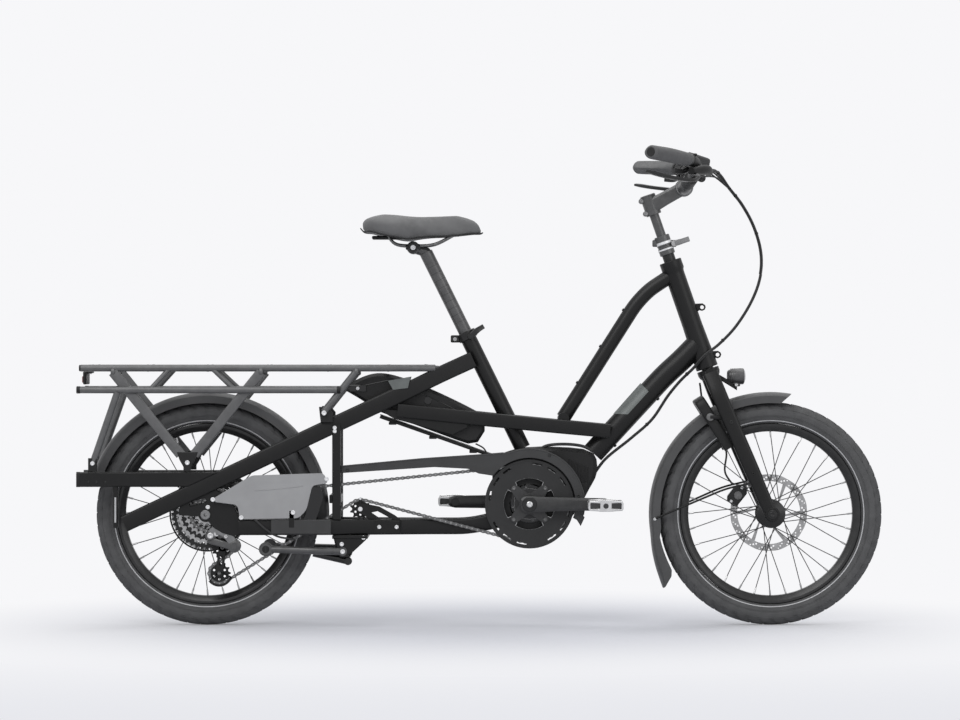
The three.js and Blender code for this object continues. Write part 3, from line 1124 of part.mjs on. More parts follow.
const lugPlace = mix(headAxis(CLAMP_LOW_SHARE), headAxis(CLAMP_TOP_SHARE), 0.6);

function mastClamp() {
  const collar = rod(at(headAxis(CLAMP_LOW_SHARE), 0), at(headAxis(CLAMP_TOP_SHARE), 0), CLAMP_RADIUS, 16);
  const ears = box(
    [lugPlace[0] - CLAMP_RADIUS * 1.5, lugPlace[0] + CLAMP_RADIUS * 1.6],
    [-LUG_HALF_WIDTH, LUG_HALF_WIDTH], [lugPlace[1] - LUG_HALF_WIDTH, lugPlace[1] + LUG_HALF_WIDTH],
  );
  const socket = rod(
    at(headAxis(0), 0), at(headAxis(STEERER_TOP_SHARE * 1.02), 0), STEERER_RADIUS + SEAT_GAP, 16,
  );
  const bore = rod(at(headAxis(0), 0), at(headAxis(MAST_TOP_SHARE), 0), MAST_RADIUS + SEAT_GAP, 16);
  add('mast_clamp', cut(collar.add(ears), socket, bore), black);
}

function mastLever() {
  const root = [lugPlace[0] + CLAMP_RADIUS * 1.3, lugPlace[1]];
  const y = -LUG_HALF_WIDTH - SEAT_GAP - LEVER_THICK / 2;
  const lever = sweep([
    at(root, y), at([root[0] + LEVER_LENGTH * 0.4, root[1] + LEVER_THICK / 2], y - LEVER_THICK / 4),
    at([root[0] + LEVER_LENGTH, root[1] + LEVER_THICK * 1.5], y + LEVER_THICK / 2),
  ], boxSection(LEVER_THICK / 2, LEVER_THICK));
  add('post_lever', lever, steel);
}

function stem() {
  const deep = CLAMP_RADIUS;
  const low = headAxis(MAST_TOP_SHARE * 0.7);
  const collar = rod(at(low, 0), at(headAxis(MAST_TOP_SHARE), 0), CLAMP_RADIUS, 16);
  const arm = sweep([at(STEM_ROOT, 0), at(STEM_TIP, 0)], boxSection(CLAMP_RADIUS, deep, deep / 3));
  const face = disc(STEM_TIP, BAR_RADIUS * 1.3, -CLAMP_RADIUS * 1.3, CLAMP_RADIUS * 1.3, 16);
  const bolt = (share) => {
    const place = headAxis(MAST_TOP_SHARE * share);
    const head = [place[0] - CLAMP_RADIUS * 0.95, place[1] - CLAMP_RADIUS * 0.3];
    return disc(head, CLAMP_RADIUS * 0.36, -CLAMP_RADIUS * 0.7, CLAMP_RADIUS * 0.7, 10);
  };
  const bore = rod(at(headAxis(0), 0), at(headAxis(MAST_TOP_SHARE * 1.2), 0), MAST_RADIUS + SEAT_GAP, 16);
  add('stem', cut(join([collar, arm, face, bolt(0.75), bolt(0.94)]), bore, pair(halfBar(SEAT_GAP))), black);
}

function gripBody() {
  const run = barRun(GRIP_START_Y, BAR_HALF_SPAN - SEAT_GAP);
  const last = run[run.length - 1].clone().sub(run[run.length - 2]).normalize();
  const line = [...run, run[run.length - 1].clone().addScaledVector(last, BAR_END_RADIUS)];
  const scales = line.map((p, i) => 1 + 0.25 * Math.sin(i / (line.length - 1) * Math.PI));
  const section = roundSection(GRIP_RADIUS, 12).map(([a, b]) => [a * 1.15, b * 0.95]);
  return cut(sweep(line, section, { side: CROSS_AXIS, scales }), halfBar(SEAT_GAP));
}

function controlBody(grow = 0) {
  const end = barPoint(GRIP_START_Y - GRIP_RADIUS / 2);
  const start = barPoint(CONTROL_START_Y);
  const ring = sweep(barRun(CONTROL_START_Y, GRIP_START_Y - GRIP_RADIUS / 2), roundSection(GRIP_RADIUS, 12), {
    side: CROSS_AXIS,
  });
  const reach = GRIP_RADIUS * 2;
  const tank = sweep([
    offsetFrom(start, -reach, CONTROL_START_Y - reach / 2, -reach / 2),
    offsetFrom(start, -reach * 0.8, CONTROL_START_Y + reach / 2, -reach / 3),
    offsetFrom(end, -reach / 5, GRIP_START_Y, -reach * 0.8),
  ], roundSection(GRIP_RADIUS * 0.65 + grow, 10), { side: CROSS_AXIS });
  return cut(ring.add(tank), halfBar(SEAT_GAP));
}

// The lever runs below the grip: shares of its reach back, across and up from the grip's start
function brakeLever() {
  const start = barPoint(GRIP_START_Y);
  const rows = [[-0.2, 0, -0.95], [-0.08, 0.2, -1.15], [0.4, 0.6, -1.02], [0.82, 1, -0.78]];
  const line = curve(rows.map(([back, across, up]) => offsetFrom(
    start, LEVER_REACH * back, GRIP_START_Y + LEVER_REACH * across, GRIP_RADIUS * 2.6 * up,
  )), 7);
  return sweep(line, boxSection(GRIP_RADIUS * 0.42, GRIP_RADIUS * 0.25), { side: CROSS_AXIS });
}

function displayUnit() {
  const slab = plate(
    shared(DISPLAY_CORNER, DISPLAY_SIZE, [[0, 1], [1, 0.6], [0.92, 0.05], [0.22, 0.25]]),
    -DISPLAY_Y - DISPLAY_HALF_WIDTH, -DISPLAY_Y + DISPLAY_HALF_WIDTH,
  );
  const seat = barPoint(DISPLAY_Y);
  const middle = [DISPLAY_CORNER[0] + DISPLAY_SIZE[0] * 0.5, DISPLAY_CORNER[1] + DISPLAY_SIZE[1] * 0.45];
  const neck = rod(new THREE.Vector3(seat.x, -seat.y, seat.z), at(middle, -DISPLAY_Y), BAR_END_RADIUS, 10);
  const half = BAR_END_RADIUS * 0.9;
  const ring = sweep(barRun(DISPLAY_Y - half, DISPLAY_Y + half), roundSection(BAR_RADIUS * 1.05, 12), {
    side: CROSS_AXIS,
  });
  return cut(join([slab, neck, mirrored(ring)]), mirrored(halfBar(SEAT_GAP)));
}

function cockpit() {
  mastClamp();
  mast();
  mastLever();
  stem();
  add('handlebar', pair(halfBar()), black);
  add('grip_left', gripBody(), foam);
  add('grip_right', mirrored(gripBody()), foam);
  add('control_left', controlBody(), plastic);
  add('control_right', mirrored(controlBody()), plastic);
  add('brake_lever_left', brakeLever(), steel);
  add('brake_lever_right', mirrored(brakeLever()), steel);
  add('display', displayUnit(), plastic);
}

// Saddle. Each row holds shares: along its length, half width, crown height and skirt height
const SADDLE_ROW_SHARES = [
  [0, 0.34, 0.66, 0.5], [0.03, 0.6, 0.88, 0.34], [0.1, 0.86, 0.98, 0.3], [0.18, 0.98, 1, 0.18],
  [0.28, 1, 0.98, 0.08], [0.38, 0.88, 0.93, 0], [0.48, 0.66, 0.9, 0.07], [0.58, 0.47, 0.91, 0.12],
  [0.7, 0.35, 0.93, 0.14], [0.82, 0.3, 0.94, 0.2], [0.92, 0.26, 0.88, 0.26],
  [0.98, 0.2, 0.7, 0.28], [1, 0.12, 0.5, 0.34],
];
// The right half of a slice, from the middle of the crown to the middle of the underside, as shares
const SADDLE_SLICE_SHARES = [
  [0, 1], [0.2, 0.99], [0.4, 0.95], [0.58, 0.87], [0.74, 0.74], [0.88, 0.52], [0.97, 0.24], [1, 0],
  [0.98, -0.4], [0.93, -0.8], [0.86, -1], [0.78, -0.9], [0.45, -0.64], [0, -0.58],
];

function cushion() {
  const place = [];
  const full = [...SADDLE_SLICE_SHARES, ...SADDLE_SLICE_SHARES.slice(1, -1).reverse().map(([a, b]) => [-a, b])];
  const rows = SADDLE_ROW_SHARES;
  const line = curve(rows.map(([along, wide, top]) => new THREE.Vector3(along, wide, top)), 18);
  const skirts = curve(rows.map(([along, wide, , low]) => new THREE.Vector3(along, wide, low)), 18);
  line.forEach((row, i) => {
    const top = row.z;
    const low = skirts[i].z;
    const edge = low + (top - low) * 0.52;
    for (const [across, up] of full) {
      const height = up > 0 ? edge + (top - edge) * up : edge + (edge - low) * up;
      place.push(SADDLE_TAIL[0] + SADDLE_SIZE[0] * row.x, SADDLE_SIZE[1] * row.y * across);
      place.push(SADDLE_TAIL[1] + SADDLE_SIZE[2] * height);
    }
  });
  return loft(place, full.length, line.length);
}

function saddleRail() {
  const rows = [
    [0.2, 0.24, 0.4], [0.28, 0.24, -0.08], [0.44, 0.24, -0.17],
    [0.6, 0.24, -0.12], [0.74, 0.14, 0.2], [0.8, 0, 0.36],
  ];
  const half = rows.map(([along, across, up]) => new THREE.Vector3(
    SADDLE_TAIL[0] + SADDLE_SIZE[0] * along, -SADDLE_SIZE[1] * across, SADDLE_TAIL[1] + SADDLE_SIZE[2] * up,
  ));
  const other = half.slice(0, -1).reverse().map((p) => new THREE.Vector3(p.x, -p.y, p.z));
  return (grow) => sweep(curve([...half, ...other], 20), roundSection(SADDLE_RAIL_RADIUS + grow, 8));
}

function saddle() {
  const top = seatLine(POST_HEAD_SHARE);
  const head = [top[0] - SEATPOST_RADIUS * 1.9, top[1] + SEATPOST_RADIUS * 0.7];
  const rail = saddleRail();
  const clampHalf = SADDLE_SIZE[1] * 0.24 + SADDLE_RAIL_RADIUS * 2;
  const post = join([
    rod(at(seatLine(0.36), 0), at(top, 0), SEATPOST_RADIUS, 16),
    rod(at(top, 0), at(head, 0), SEATPOST_RADIUS * 0.8, 12),
    disc(head, SEATPOST_RADIUS * 0.95, -clampHalf, clampHalf, 14),
  ]);
  add('seatpost', cut(post, rail(SEAT_GAP)), black);
  const pad = cushion();
  add('saddle', pad, foam);
  add('saddle_rails', cut(rail(0), pad.add(pad.translate([0, 0, -SEAT_GAP]))), steel);
}

function seatLever() {
  const collar = SEAT_TUBE_RADIUS * COLLAR_SHARE;
  const y = -collar - LEVER_THICK * 0.3;
  const lever = sweep([
    at([SEAT_TOP[0] + LEVER_LENGTH / 3, SEAT_TOP[1] - LEVER_THICK], y),
    at([SEAT_TOP[0] + LEVER_LENGTH * 0.8, SEAT_TOP[1] + LEVER_THICK], y),
    at([SEAT_TOP[0] + LEVER_LENGTH * 1.2, SEAT_TOP[1] + LEVER_THICK * 2.2], y + LEVER_THICK),
  ], boxSection(LEVER_THICK / 2, LEVER_THICK));
  add('seat_lever', cut(lever, rod(at(seatLine(-0.02), 0), at(seatLine(0.07), 0), collar + SEAT_GAP)), steel);
}

// Two ears under the frame hold the stand's shaft, on a plate between the support posts
function standMount() {
  const level = CHAINSTAY_BEND[1] - CHAINSTAY_HEIGHT / 2 - SEAT_GAP;
  const wide = POST_WIDTH * 1.2;
  const ear = plate([
    [STAND_PIVOT[0] - wide, level], [STAND_PIVOT[0] + wide * 1.4, level],
    [STAND_PIVOT[0] + wide * 0.7, STAND_PIVOT[1] - POST_WIDTH * 0.7],
    [STAND_PIVOT[0] - wide * 0.5, STAND_PIVOT[1] - POST_WIDTH * 0.7],
  ], -STAND_EAR_Y - STAND_SHAFT_RADIUS, -STAND_EAR_Y);
  const deck = box(
    [STAND_PIVOT[0] - wide, STAND_PIVOT[0] + wide * 2.4],
    [-STAY_Y_POST - POST_THICK / 2, STAY_Y_POST + POST_THICK / 2], [level - STAND_SHAFT_RADIUS, level],
  );
  const leg = box(
    [POST_X - POST_WIDTH / 2, POST_X + POST_WIDTH / 2], [-STAND_EAR_Y - STAND_SHAFT_RADIUS, -STAND_EAR_Y],
    [level - STAND_SHAFT_RADIUS, level + CHAINSTAY_HEIGHT * 2 + POST_WIDTH],
  );
  const hole = disc(STAND_PIVOT, STAND_SHAFT_RADIUS + SEAT_GAP, -STAY_Y_POST, STAY_Y_POST, 16);
  return cut(join([deck, pair(ear), pair(leg)]), hole);
}

function stand() {
  const outY = STAY_Y_POST + POST_THICK / 4;
  const legY = outY + STAND_SHAFT_RADIUS;
  const leg = join([
    sweep([
      at(STAND_PIVOT, -outY + POST_THICK / 4), at(mix(STAND_PIVOT, STAND_FOOT, 0.3), -legY),
      at(STAND_FOOT, -legY - STAND_SHAFT_RADIUS * 0.3),
    ], boxSection(STAND_SHAFT_RADIUS, STAND_SHAFT_RADIUS)),
    disc(STAND_FOOT, STAND_SHAFT_RADIUS * 1.9, -legY - STAND_SHAFT_RADIUS * 1.3, -legY + STAND_SHAFT_RADIUS * 0.7),
  ]);
  const shaft = disc(STAND_PIVOT, STAND_SHAFT_RADIUS, -outY, outY, 16);
  const tab = sweep([
    at([STAND_PIVOT[0] + STAND_SHAFT_RADIUS / 2, STAND_PIVOT[1]], -outY + POST_THICK / 2),
    at([STAND_PIVOT[0] + STAND_SHAFT_RADIUS, STAND_PIVOT[1] - POST_WIDTH * 1.5], -outY + POST_THICK / 4),
  ], boxSection(STAND_SHAFT_RADIUS * 0.9, STAND_SHAFT_RADIUS * 0.7));
  add('kickstand', join([pair(leg), shaft, tab]), black);
}

function sideGuard() {
  const outline = shared(GUARD_CORNER, GUARD_SIZE, [
    [0.03, 0.44], [0, 0.53], [0.33, 0.95], [0.96, 1], [1, 0.78], [0.86, 0.73], [0.81, 0.2], [0.74, 0.02],
    [0.23, 0], [0.21, 0.31], [0.03, 0.42],
  ]);
  const face = -REAR_Y - TAIL_THICK / 2 - SEAT_GAP;
  const tabX = GUARD_CORNER[0] + GUARD_SIZE[0] * 0.68;
  const tab = box(
    [tabX - POST_WIDTH / 2, tabX + POST_WIDTH / 2], [face - FENDER_WALL, face],
    [CHAINSTAY_BEND[1], GUARD_CORNER[1] + POST_WIDTH],
  );
  const spacerAt = (place) => disc(place, RAIL_RADIUS, face, -STAY_Y_POST, 12);
  const spacers = spacerAt([tabX, CHAINSTAY_BEND[1] + RAIL_RADIUS])
    .add(spacerAt([GUARD_CORNER[0] + GUARD_SIZE[0] * 0.1, GUARD_CORNER[1] + GUARD_SIZE[1] * 0.5]));
  const carried = bothChainstays(SEAT_GAP).add(pair(dropout(SEAT_GAP)));
  const held = largest(cut(join([plate(outline, face - FENDER_WALL, face), tab, spacers]), carried));
  add('side_guard', held, grey);
}

// One hose bundle loops from the bar to the foot of the head tube, split where it meets the fork's turn
function hoses() {
  const route = HOSE_SHARES.map((row) => new THREE.Vector3(
    ...row.map((share, i) => HOSE_CORNER[i] + HOSE_SIZE[i] * share),
  ));
  const line = curve(route, HOSE_POINT_COUNT);
  const upper = line.slice(0, HOSE_SPLIT_COUNT + 1);
  const lower = line.slice(HOSE_SPLIT_COUNT).map((p) => p.clone());
  lower[0].addScaledVector(lower[1].clone().sub(lower[0]).normalize(), SEAT_GAP * 2);
  const section = roundSection(HOSE_RADIUS, 6);
  add('hose_upper', largest(cut(sweep(upper, section), mirrored(controlBody(SEAT_GAP)))), rubber);
  const head = rod(at(headAxis(-0.2), 0), at(headAxis(1), 0), HEAD_BELL_RADIUS + SEAT_GAP, 16);
  const under = cut(sweep(lower, section), head, downTube(SEAT_GAP), motorBlank(SEAT_GAP), bothLegs(SEAT_GAP));
  add('hose_lower', largest(under), rubber);
}

frame();
rearFrame();
rack();
powerUnit();
wheels();
driveTrain();
fork();
fenders();
headlight();
wheelLock();
calipers();
cockpit();
saddle();
seatLever();
stand();
sideGuard();
hoses();

// The tyres stand on the floor, and the middle of the whole length is over the origin
bike.position.set(-(FRONT_AXLE[0] + TYRE_RADIUS + TAIL_END_X) / 2, 0, TYRE_RADIUS);
export default bike;
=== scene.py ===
# Looks of a longtail cargo bicycle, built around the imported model.
# Lengths are millimetres in the part's own frame, with +X forward and the drive side at -Y.
import math
import bmesh
import bpy
import numpy as np
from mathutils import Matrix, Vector


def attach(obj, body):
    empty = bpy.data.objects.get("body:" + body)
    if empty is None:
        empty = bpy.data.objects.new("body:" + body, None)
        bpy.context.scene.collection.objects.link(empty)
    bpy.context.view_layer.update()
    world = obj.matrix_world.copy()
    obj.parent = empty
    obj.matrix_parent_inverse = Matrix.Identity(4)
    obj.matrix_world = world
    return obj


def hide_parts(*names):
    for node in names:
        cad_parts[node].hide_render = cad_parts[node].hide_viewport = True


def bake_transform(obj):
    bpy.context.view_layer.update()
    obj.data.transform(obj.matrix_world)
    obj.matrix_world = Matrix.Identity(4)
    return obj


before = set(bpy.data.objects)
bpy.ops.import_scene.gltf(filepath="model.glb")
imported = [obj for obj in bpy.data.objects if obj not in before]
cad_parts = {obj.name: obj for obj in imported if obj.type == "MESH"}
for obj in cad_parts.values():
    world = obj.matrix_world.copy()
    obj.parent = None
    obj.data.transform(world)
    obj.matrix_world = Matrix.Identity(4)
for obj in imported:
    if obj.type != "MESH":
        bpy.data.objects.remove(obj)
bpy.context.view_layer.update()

MM = 0.001
SHIFT_X = -2.0
TURN = 2 * math.pi

MIRROR = np.array([1, -1, 1])

# Places in the side view are (x, z) pairs, heights count from the floor
TYRE_RADIUS, RIM_INNER, BRAKE_DISC_RADIUS = 258, 190, 90
REAR_AXLE, FRONT_AXLE = (-631, 258), (673, 258)
BB, CRANK, CRANK_Y = (114, 282), 172, 84
HEAD_TOP, HEAD_BOTTOM = (441, 843), (527, 595)
SEAT_TOP, SEAT_END = (-33, 676), (99, 409)
DOWN_TUBE, TOP_TUBE = ((428, 578), (262, 398)), ((360, 742), (193, 479))
STAY_ROUTE = [(-17, 26.4, 614), (-92, 44.9, 580), (-171, 60, 541), (-334, 70, 465), (-575, 84, 351), (-817, 84, 237)]
SIDE_ROUTE = [(300, 33.8, 449), (150, 47.9, 463), (9, 54, 477), (-190, 60, 498)]
CHAIN_Y, PITCH, COG_GAP = -50, 12.7, 4.4
RING_TEETH, COG_TEETH, IDLER_TEETH, PULLEY_TEETH = 44, 18, 11, 12
IDLER, GUIDE, TENSION, CAGE_PIVOT = (-276, 270), (-594, 181), (-601, 122), (-566, 186)
GUARD_RADIUS = 103
DECK_Z, LOW_RAIL_Z, LOW_RAIL_Y, TAIL_Z, POST_X = 595, 545, 95, 339, -330
FENDER_INNER, FENDER_OUTER, FENDER_HALF = 272, 281.6, 34
CROWN, LEG_TOP, LEG_END = (531, 583), (535, 570), (666, 268)
STAND_PIVOT = (-316, 173)


def xyz(place, y=0):
    return np.array([place[0], y, place[1]], float)


def vec(*parts):
    return np.array(parts, float)


def mix(a, b, share):
    return tuple(np.array(a, float) + (np.array(b, float) - np.array(a, float)) * share)


def head(share):
    return mix(HEAD_TOP, HEAD_BOTTOM, share)


def seat(share):
    return mix(SEAT_TOP, SEAT_END, share)


def unit(v):
    return np.array(v, float) / max(float(np.linalg.norm(v)), 1e-9)


HEAD_AXIS = unit(xyz(HEAD_BOTTOM) - xyz(HEAD_TOP))
SEAT_AXIS = unit(xyz(SEAT_END) - xyz(SEAT_TOP))


def polar(centre, radius, angle):
    return (centre[0] + math.cos(angle) * radius, centre[1] + math.sin(angle) * radius)


def inside(corner, size, shares):
    """Places in the side view, given as shares of a box from its lower back corner."""
    return [(corner[0] + size[0] * u, corner[1] + size[1] * v) for u, v in shares]


def between(sign, near, far):
    """Two distances from the middle plane on one side of it, the lower first."""
    return sorted((sign * near, sign * far))


# Sections, as (across, up) pairs
def ring(radius, sides=24):
    return [polar((0, 0), radius, TURN * (i + 0.5) / sides) for i in range(sides)]


def doubled(half, shared=1):
    """A half profile and its mirror image. The last points of the half may lie on the middle."""
    return half + [(r, -y) for r, y in reversed(half[:len(half) - shared])]


def slab(half_wide, half_high, corner, steps=3):
    points = []
    for cx, cz, start in ((1, 1, 0), (-1, 1, 0.25), (-1, -1, 0.5), (1, -1, 0.75)):
        for i in range(steps + 1):
            a = TURN * (start + 0.25 * i / steps)
            points.append((cx * (half_wide - corner) + math.cos(a) * corner,
                           cz * (half_high - corner) + math.sin(a) * corner))
    return points


# Lines
def bent(points, reach=26, steps=5):
    points = [np.array(p, float) for p in points]
    line = [points[0]]
    for a, b, c in zip(points, points[1:], points[2:]):
        near = min(reach, np.linalg.norm(a - b) * 0.45, np.linalg.norm(c - b) * 0.45)
        start, end = b + unit(a - b) * near, b + unit(c - b) * near
        for i in range(steps + 1):
            t = i / steps
            line.append(start * (1 - t) ** 2 + b * 2 * t * (1 - t) + end * t * t)
    return line + [points[-1]]


def spline(points, steps=6):
    p = [np.array(q, float) for q in points]
    p = [2 * p[0] - p[1]] + p + [2 * p[-1] - p[-2]]
    line = []
    for a, b, c, d in zip(p, p[1:], p[2:], p[3:]):
        t1 = max(np.linalg.norm(b - a), 1e-6) ** 0.5
        t2 = t1 + max(np.linalg.norm(c - b), 1e-6) ** 0.5
        t3 = t2 + max(np.linalg.norm(d - c), 1e-6) ** 0.5
        for i in range(steps):
            t = t1 + (t2 - t1) * i / steps
            ab = a * (t1 - t) / t1 + b * t / t1
            bc = b * (t2 - t) / (t2 - t1) + c * (t - t1) / (t2 - t1)
            cd = c * (t3 - t) / (t3 - t2) + d * (t - t2) / (t3 - t2)
            abc = ab * (t2 - t) / t2 + bc * t / t2
            bcd = bc * (t3 - t) / (t3 - t1) + cd * (t - t1) / (t3 - t1)
            line.append(abc * (t2 - t) / (t2 - t1) + bcd * (t - t1) / (t2 - t1))
    return line + [p[-2]]


def flat_bent(points, reach, steps):
    """A closed outline in the side view with its corners rounded."""
    return [tuple(p[:2]) for p in bent([(*p, 0) for p in points + points[:1]], reach, steps)[:-1]]


def along_line(line, shares, values):
    """A value for each point of a line, from values at shares of it."""
    return np.interp(np.linspace(0, 1, len(line)), shares, values)


def direction(line, i):
    return unit(line[min(i + 1, len(line) - 1)] - line[max(i - 1, 0)])


def stations(line):
    """The length of a line up to each of its points."""
    return np.concatenate([[0], np.cumsum(np.linalg.norm(np.diff(line, axis=0), axis=1))])


def arc(centre, radius, start, end, steps):
    return [polar(centre, radius, start + (end - start) * i / steps) for i in range(steps + 1)]


def circle(centre, radius, sides=24):
    return arc(centre, radius, 0, TURN, sides)[:-1]


def new_object(name, data):
    made = bpy.data.objects.new(name, data)
    bpy.context.scene.collection.objects.link(made)
    return made


def evaluated(piece):
    return piece.evaluated_get(bpy.context.evaluated_depsgraph_get())


class Form:
    """Gathers surfaces in millimetres and makes one object of them.

    Each surface has a kind, which is the number of its material in the list that made() is given.
    """

    def __init__(self):
        self.verts, self.faces, self.kinds = [], [], []
        self.count = 0

    def put(self, verts, faces, kind=0):
        verts = np.array(verts, float).reshape(-1, 3)
        base = self.count
        self.verts.append(verts)
        self.count += len(verts)
        self.faces += [tuple(base + i for i in f) for f in faces]
        self.kinds += [kind] * len(faces)
        return self

    def skin(self, rings, kind=0, loop=False):
        rings = np.array(rings, float)
        n, k = rings.shape[:2]
        faces = []
        for i in range(n if loop else n - 1):
            a, b = i * k, (i + 1) % n * k
            faces += [(a + j, a + (j + 1) % k, b + (j + 1) % k, b + j) for j in range(k)]
        if not loop:
            faces += [tuple(reversed(range(k))), tuple(range((n - 1) * k, n * k))]
        return self.put(rings.reshape(-1, 3), faces, kind)

    def sweep(self, points, section, kind=0, scales=None, side=(0, 1, 0), loop=False, free=False):
        points = [np.array(p, float) for p in points]
        n = len(points)
        rings, across = [], None
        for i, p in enumerate(points):
            before = points[i - 1] if i or loop else p
            after = points[(i + 1) % n] if i < n - 1 or loop else p
            along = unit(unit(p - before) + unit(after - p))
            guide = np.array(side, float) if across is None or not free else across
            if abs(along @ guide) > 0.9 and not (free and across is not None):
                guide = vec(1, 0, 0)
            across = unit(guide - along * (guide @ along))
            up = np.cross(across, along)
            size = scales[i] if scales is not None else 1
            rings.append([p + across * a * size + up * b * size for a, b in section])
        return self.skin(rings, kind, loop)

    def tube(self, points, radius, kind=0, sides=24, **more):
        return self.sweep(points, ring(radius, sides), kind, **more)

    def across(self, place, half, radius, kind=0, sides=24):
        """A round bar straight across the bicycle."""
        return self.tube([xyz(place, -half), xyz(place, half)], radius, kind, sides)

    def spin(self, profile, origin, axis=(0, 1, 0), sides=32, kind=0, wave=None):
        """A profile of (radius, along) turned about an axis."""
        axis = unit(axis)
        u = vec(1, 0, 0) if abs(axis[0]) < 0.9 else vec(0, 0, 1)
        u = unit(u - axis * (u @ axis))
        v = np.cross(u, axis)
        rings = []
        for i in range(sides):
            a = TURN * i / sides
            out = u * math.cos(a) + v * math.sin(a)
            rings.append([np.array(origin, float) + out * (r + (wave(a, h, r) if wave else 0)) + axis * h
                          for r, h in profile])
        return self.skin(rings, kind, loop=True)

    def disc(self, place, radius, low, high, kind=0, sides=32, bevel=0.6, bore=0.0):
        b = min(bevel, (high - low) / 3, radius / 4)
        return self.spin([(bore, low), (radius - b, low), (radius, low + b), (radius, high - b),
                          (radius - b, high), (bore, high)], xyz(place), sides=sides, kind=kind)

    def bolt(self, place, radius, height, kind, axis=(0, -1, 0)):
        """A round screw head with a six-sided socket."""
        r, h = radius, height
        self.spin([(0, -h), (r, -h), (r, h * 0.6), (r * 0.82, h), (r * 0.56, h)], place, axis, 18, kind)
        return self.spin([(r * 0.56, h), (r * 0.5, h * 0.2), (0, h * 0.2)], place, axis, 6, kind)

    def block(self, low, high, bevel=1.2, kind=0):
        low, high = np.array(low, float), np.array(high, float)
        b = min(bevel, *(high - low) / 3)
        mid, half = (low + high) / 2, (high - low) / 2
        rings = []
        for y, inset in ((low[1], b), (low[1] + b, 0), (high[1] - b, 0), (high[1], b)):
            section = slab(half[0] - inset, half[2] - inset, max(b - inset, 0.01) + 0.2, 2)
            rings.append([(mid[0] + a, y, mid[2] + c) for a, c in section])
        return self.skin(rings, kind)

    def plate(self, outlines, low, high, bevel=0.5, kind=0):
        """Flat stock cut to outlines in the side view: the first is the edge, the others are holes."""
        curve = bpy.data.curves.new("plate", "CURVE")
        curve.dimensions, curve.fill_mode = "2D", "BOTH"
        for outline in outlines:
            line = curve.splines.new("POLY")
            line.points.add(len(outline) - 1)
            line.points.foreach_set("co", np.array([(x, z, 0, 1) for x, z in outline], float).ravel())
            line.use_cyclic_u = True
        bevel = min(bevel, (high - low) / 3)
        curve.extrude, curve.bevel_depth, curve.offset = (high - low) / 2 - bevel, bevel, -bevel
        curve.bevel_resolution = 0
        holder = new_object("plate", curve)
        mesh = bpy.data.meshes.new_from_object(evaluated(holder))
        co = places(mesh)
        co = np.stack([co[:, 0], (low + high) / 2 - co[:, 2], co[:, 1]], 1)
        self.put(co, [tuple(f.vertices) for f in mesh.polygons], kind)
        bpy.data.objects.remove(holder)
        bpy.data.curves.remove(curve)
        bpy.data.meshes.remove(mesh)
        return self

    def mirror(self):
        """Adds the same surfaces on the other side of the bicycle."""
        verts, base = np.concatenate(self.verts), self.count
        self.verts.append(verts * MIRROR)
        self.count += len(verts)
        self.faces += [tuple(base + i for i in reversed(f)) for f in self.faces]
        self.kinds += self.kinds
        return self

    def made(self, name, looks, body, nodes=(), slot=None, sharp=32, joined=True, flip=False):
        """Makes the object, on the other side of the bicycle if flip is set."""
        looks = looks if isinstance(looks, (list, tuple)) else [looks]
        verts = np.concatenate(self.verts)
        if flip:
            verts = verts * MIRROR
            self.faces = [tuple(reversed(f)) for f in self.faces]
        verts = (verts + vec(SHIFT_X, 0, 0)) * MM
        mesh = bpy.data.meshes.new(name)
        mesh.from_pydata(verts.tolist(), [], self.faces)
        for look in looks:
            mesh.materials.append(look)
        mesh.polygons.foreach_set("material_index", np.array(self.kinds, np.int32))
        bm = bmesh.new()
        bm.from_mesh(mesh)
        if joined:
            bmesh.ops.remove_doubles(bm, verts=bm.verts, dist=5e-6)
        bmesh.ops.recalc_face_normals(bm, faces=bm.faces)
        bm.to_mesh(mesh)
        bm.free()
        mesh.shade_smooth()
        mesh.set_sharp_from_angle(angle=math.radians(sharp))
        piece = new_object(name, mesh)
        if body:
            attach(piece, body)
        if nodes:
            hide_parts(*nodes)
        return piece


def places(mesh):
    flat = np.empty(len(mesh.vertices) * 3)
    mesh.vertices.foreach_get("co", flat)
    return flat.reshape(-1, 3)


# Shader nodes
def node(nodes, kind, inputs=(), **settings):
    made = nodes.new(f"ShaderNode{kind}")
    for key, value in settings.items():
        setattr(made, key, value)
    return filled(made, inputs)


def filled(made, inputs):
    for key, value in inputs:
        made.inputs[key].default_value = value
    return made


def join(links, source, output, target, entry):
    links.new(source.outputs[output], target.inputs[entry])


# Materials. Each is a surface with colour variation, grain and roughness of its own.
NOISE_DETAIL = 6.0


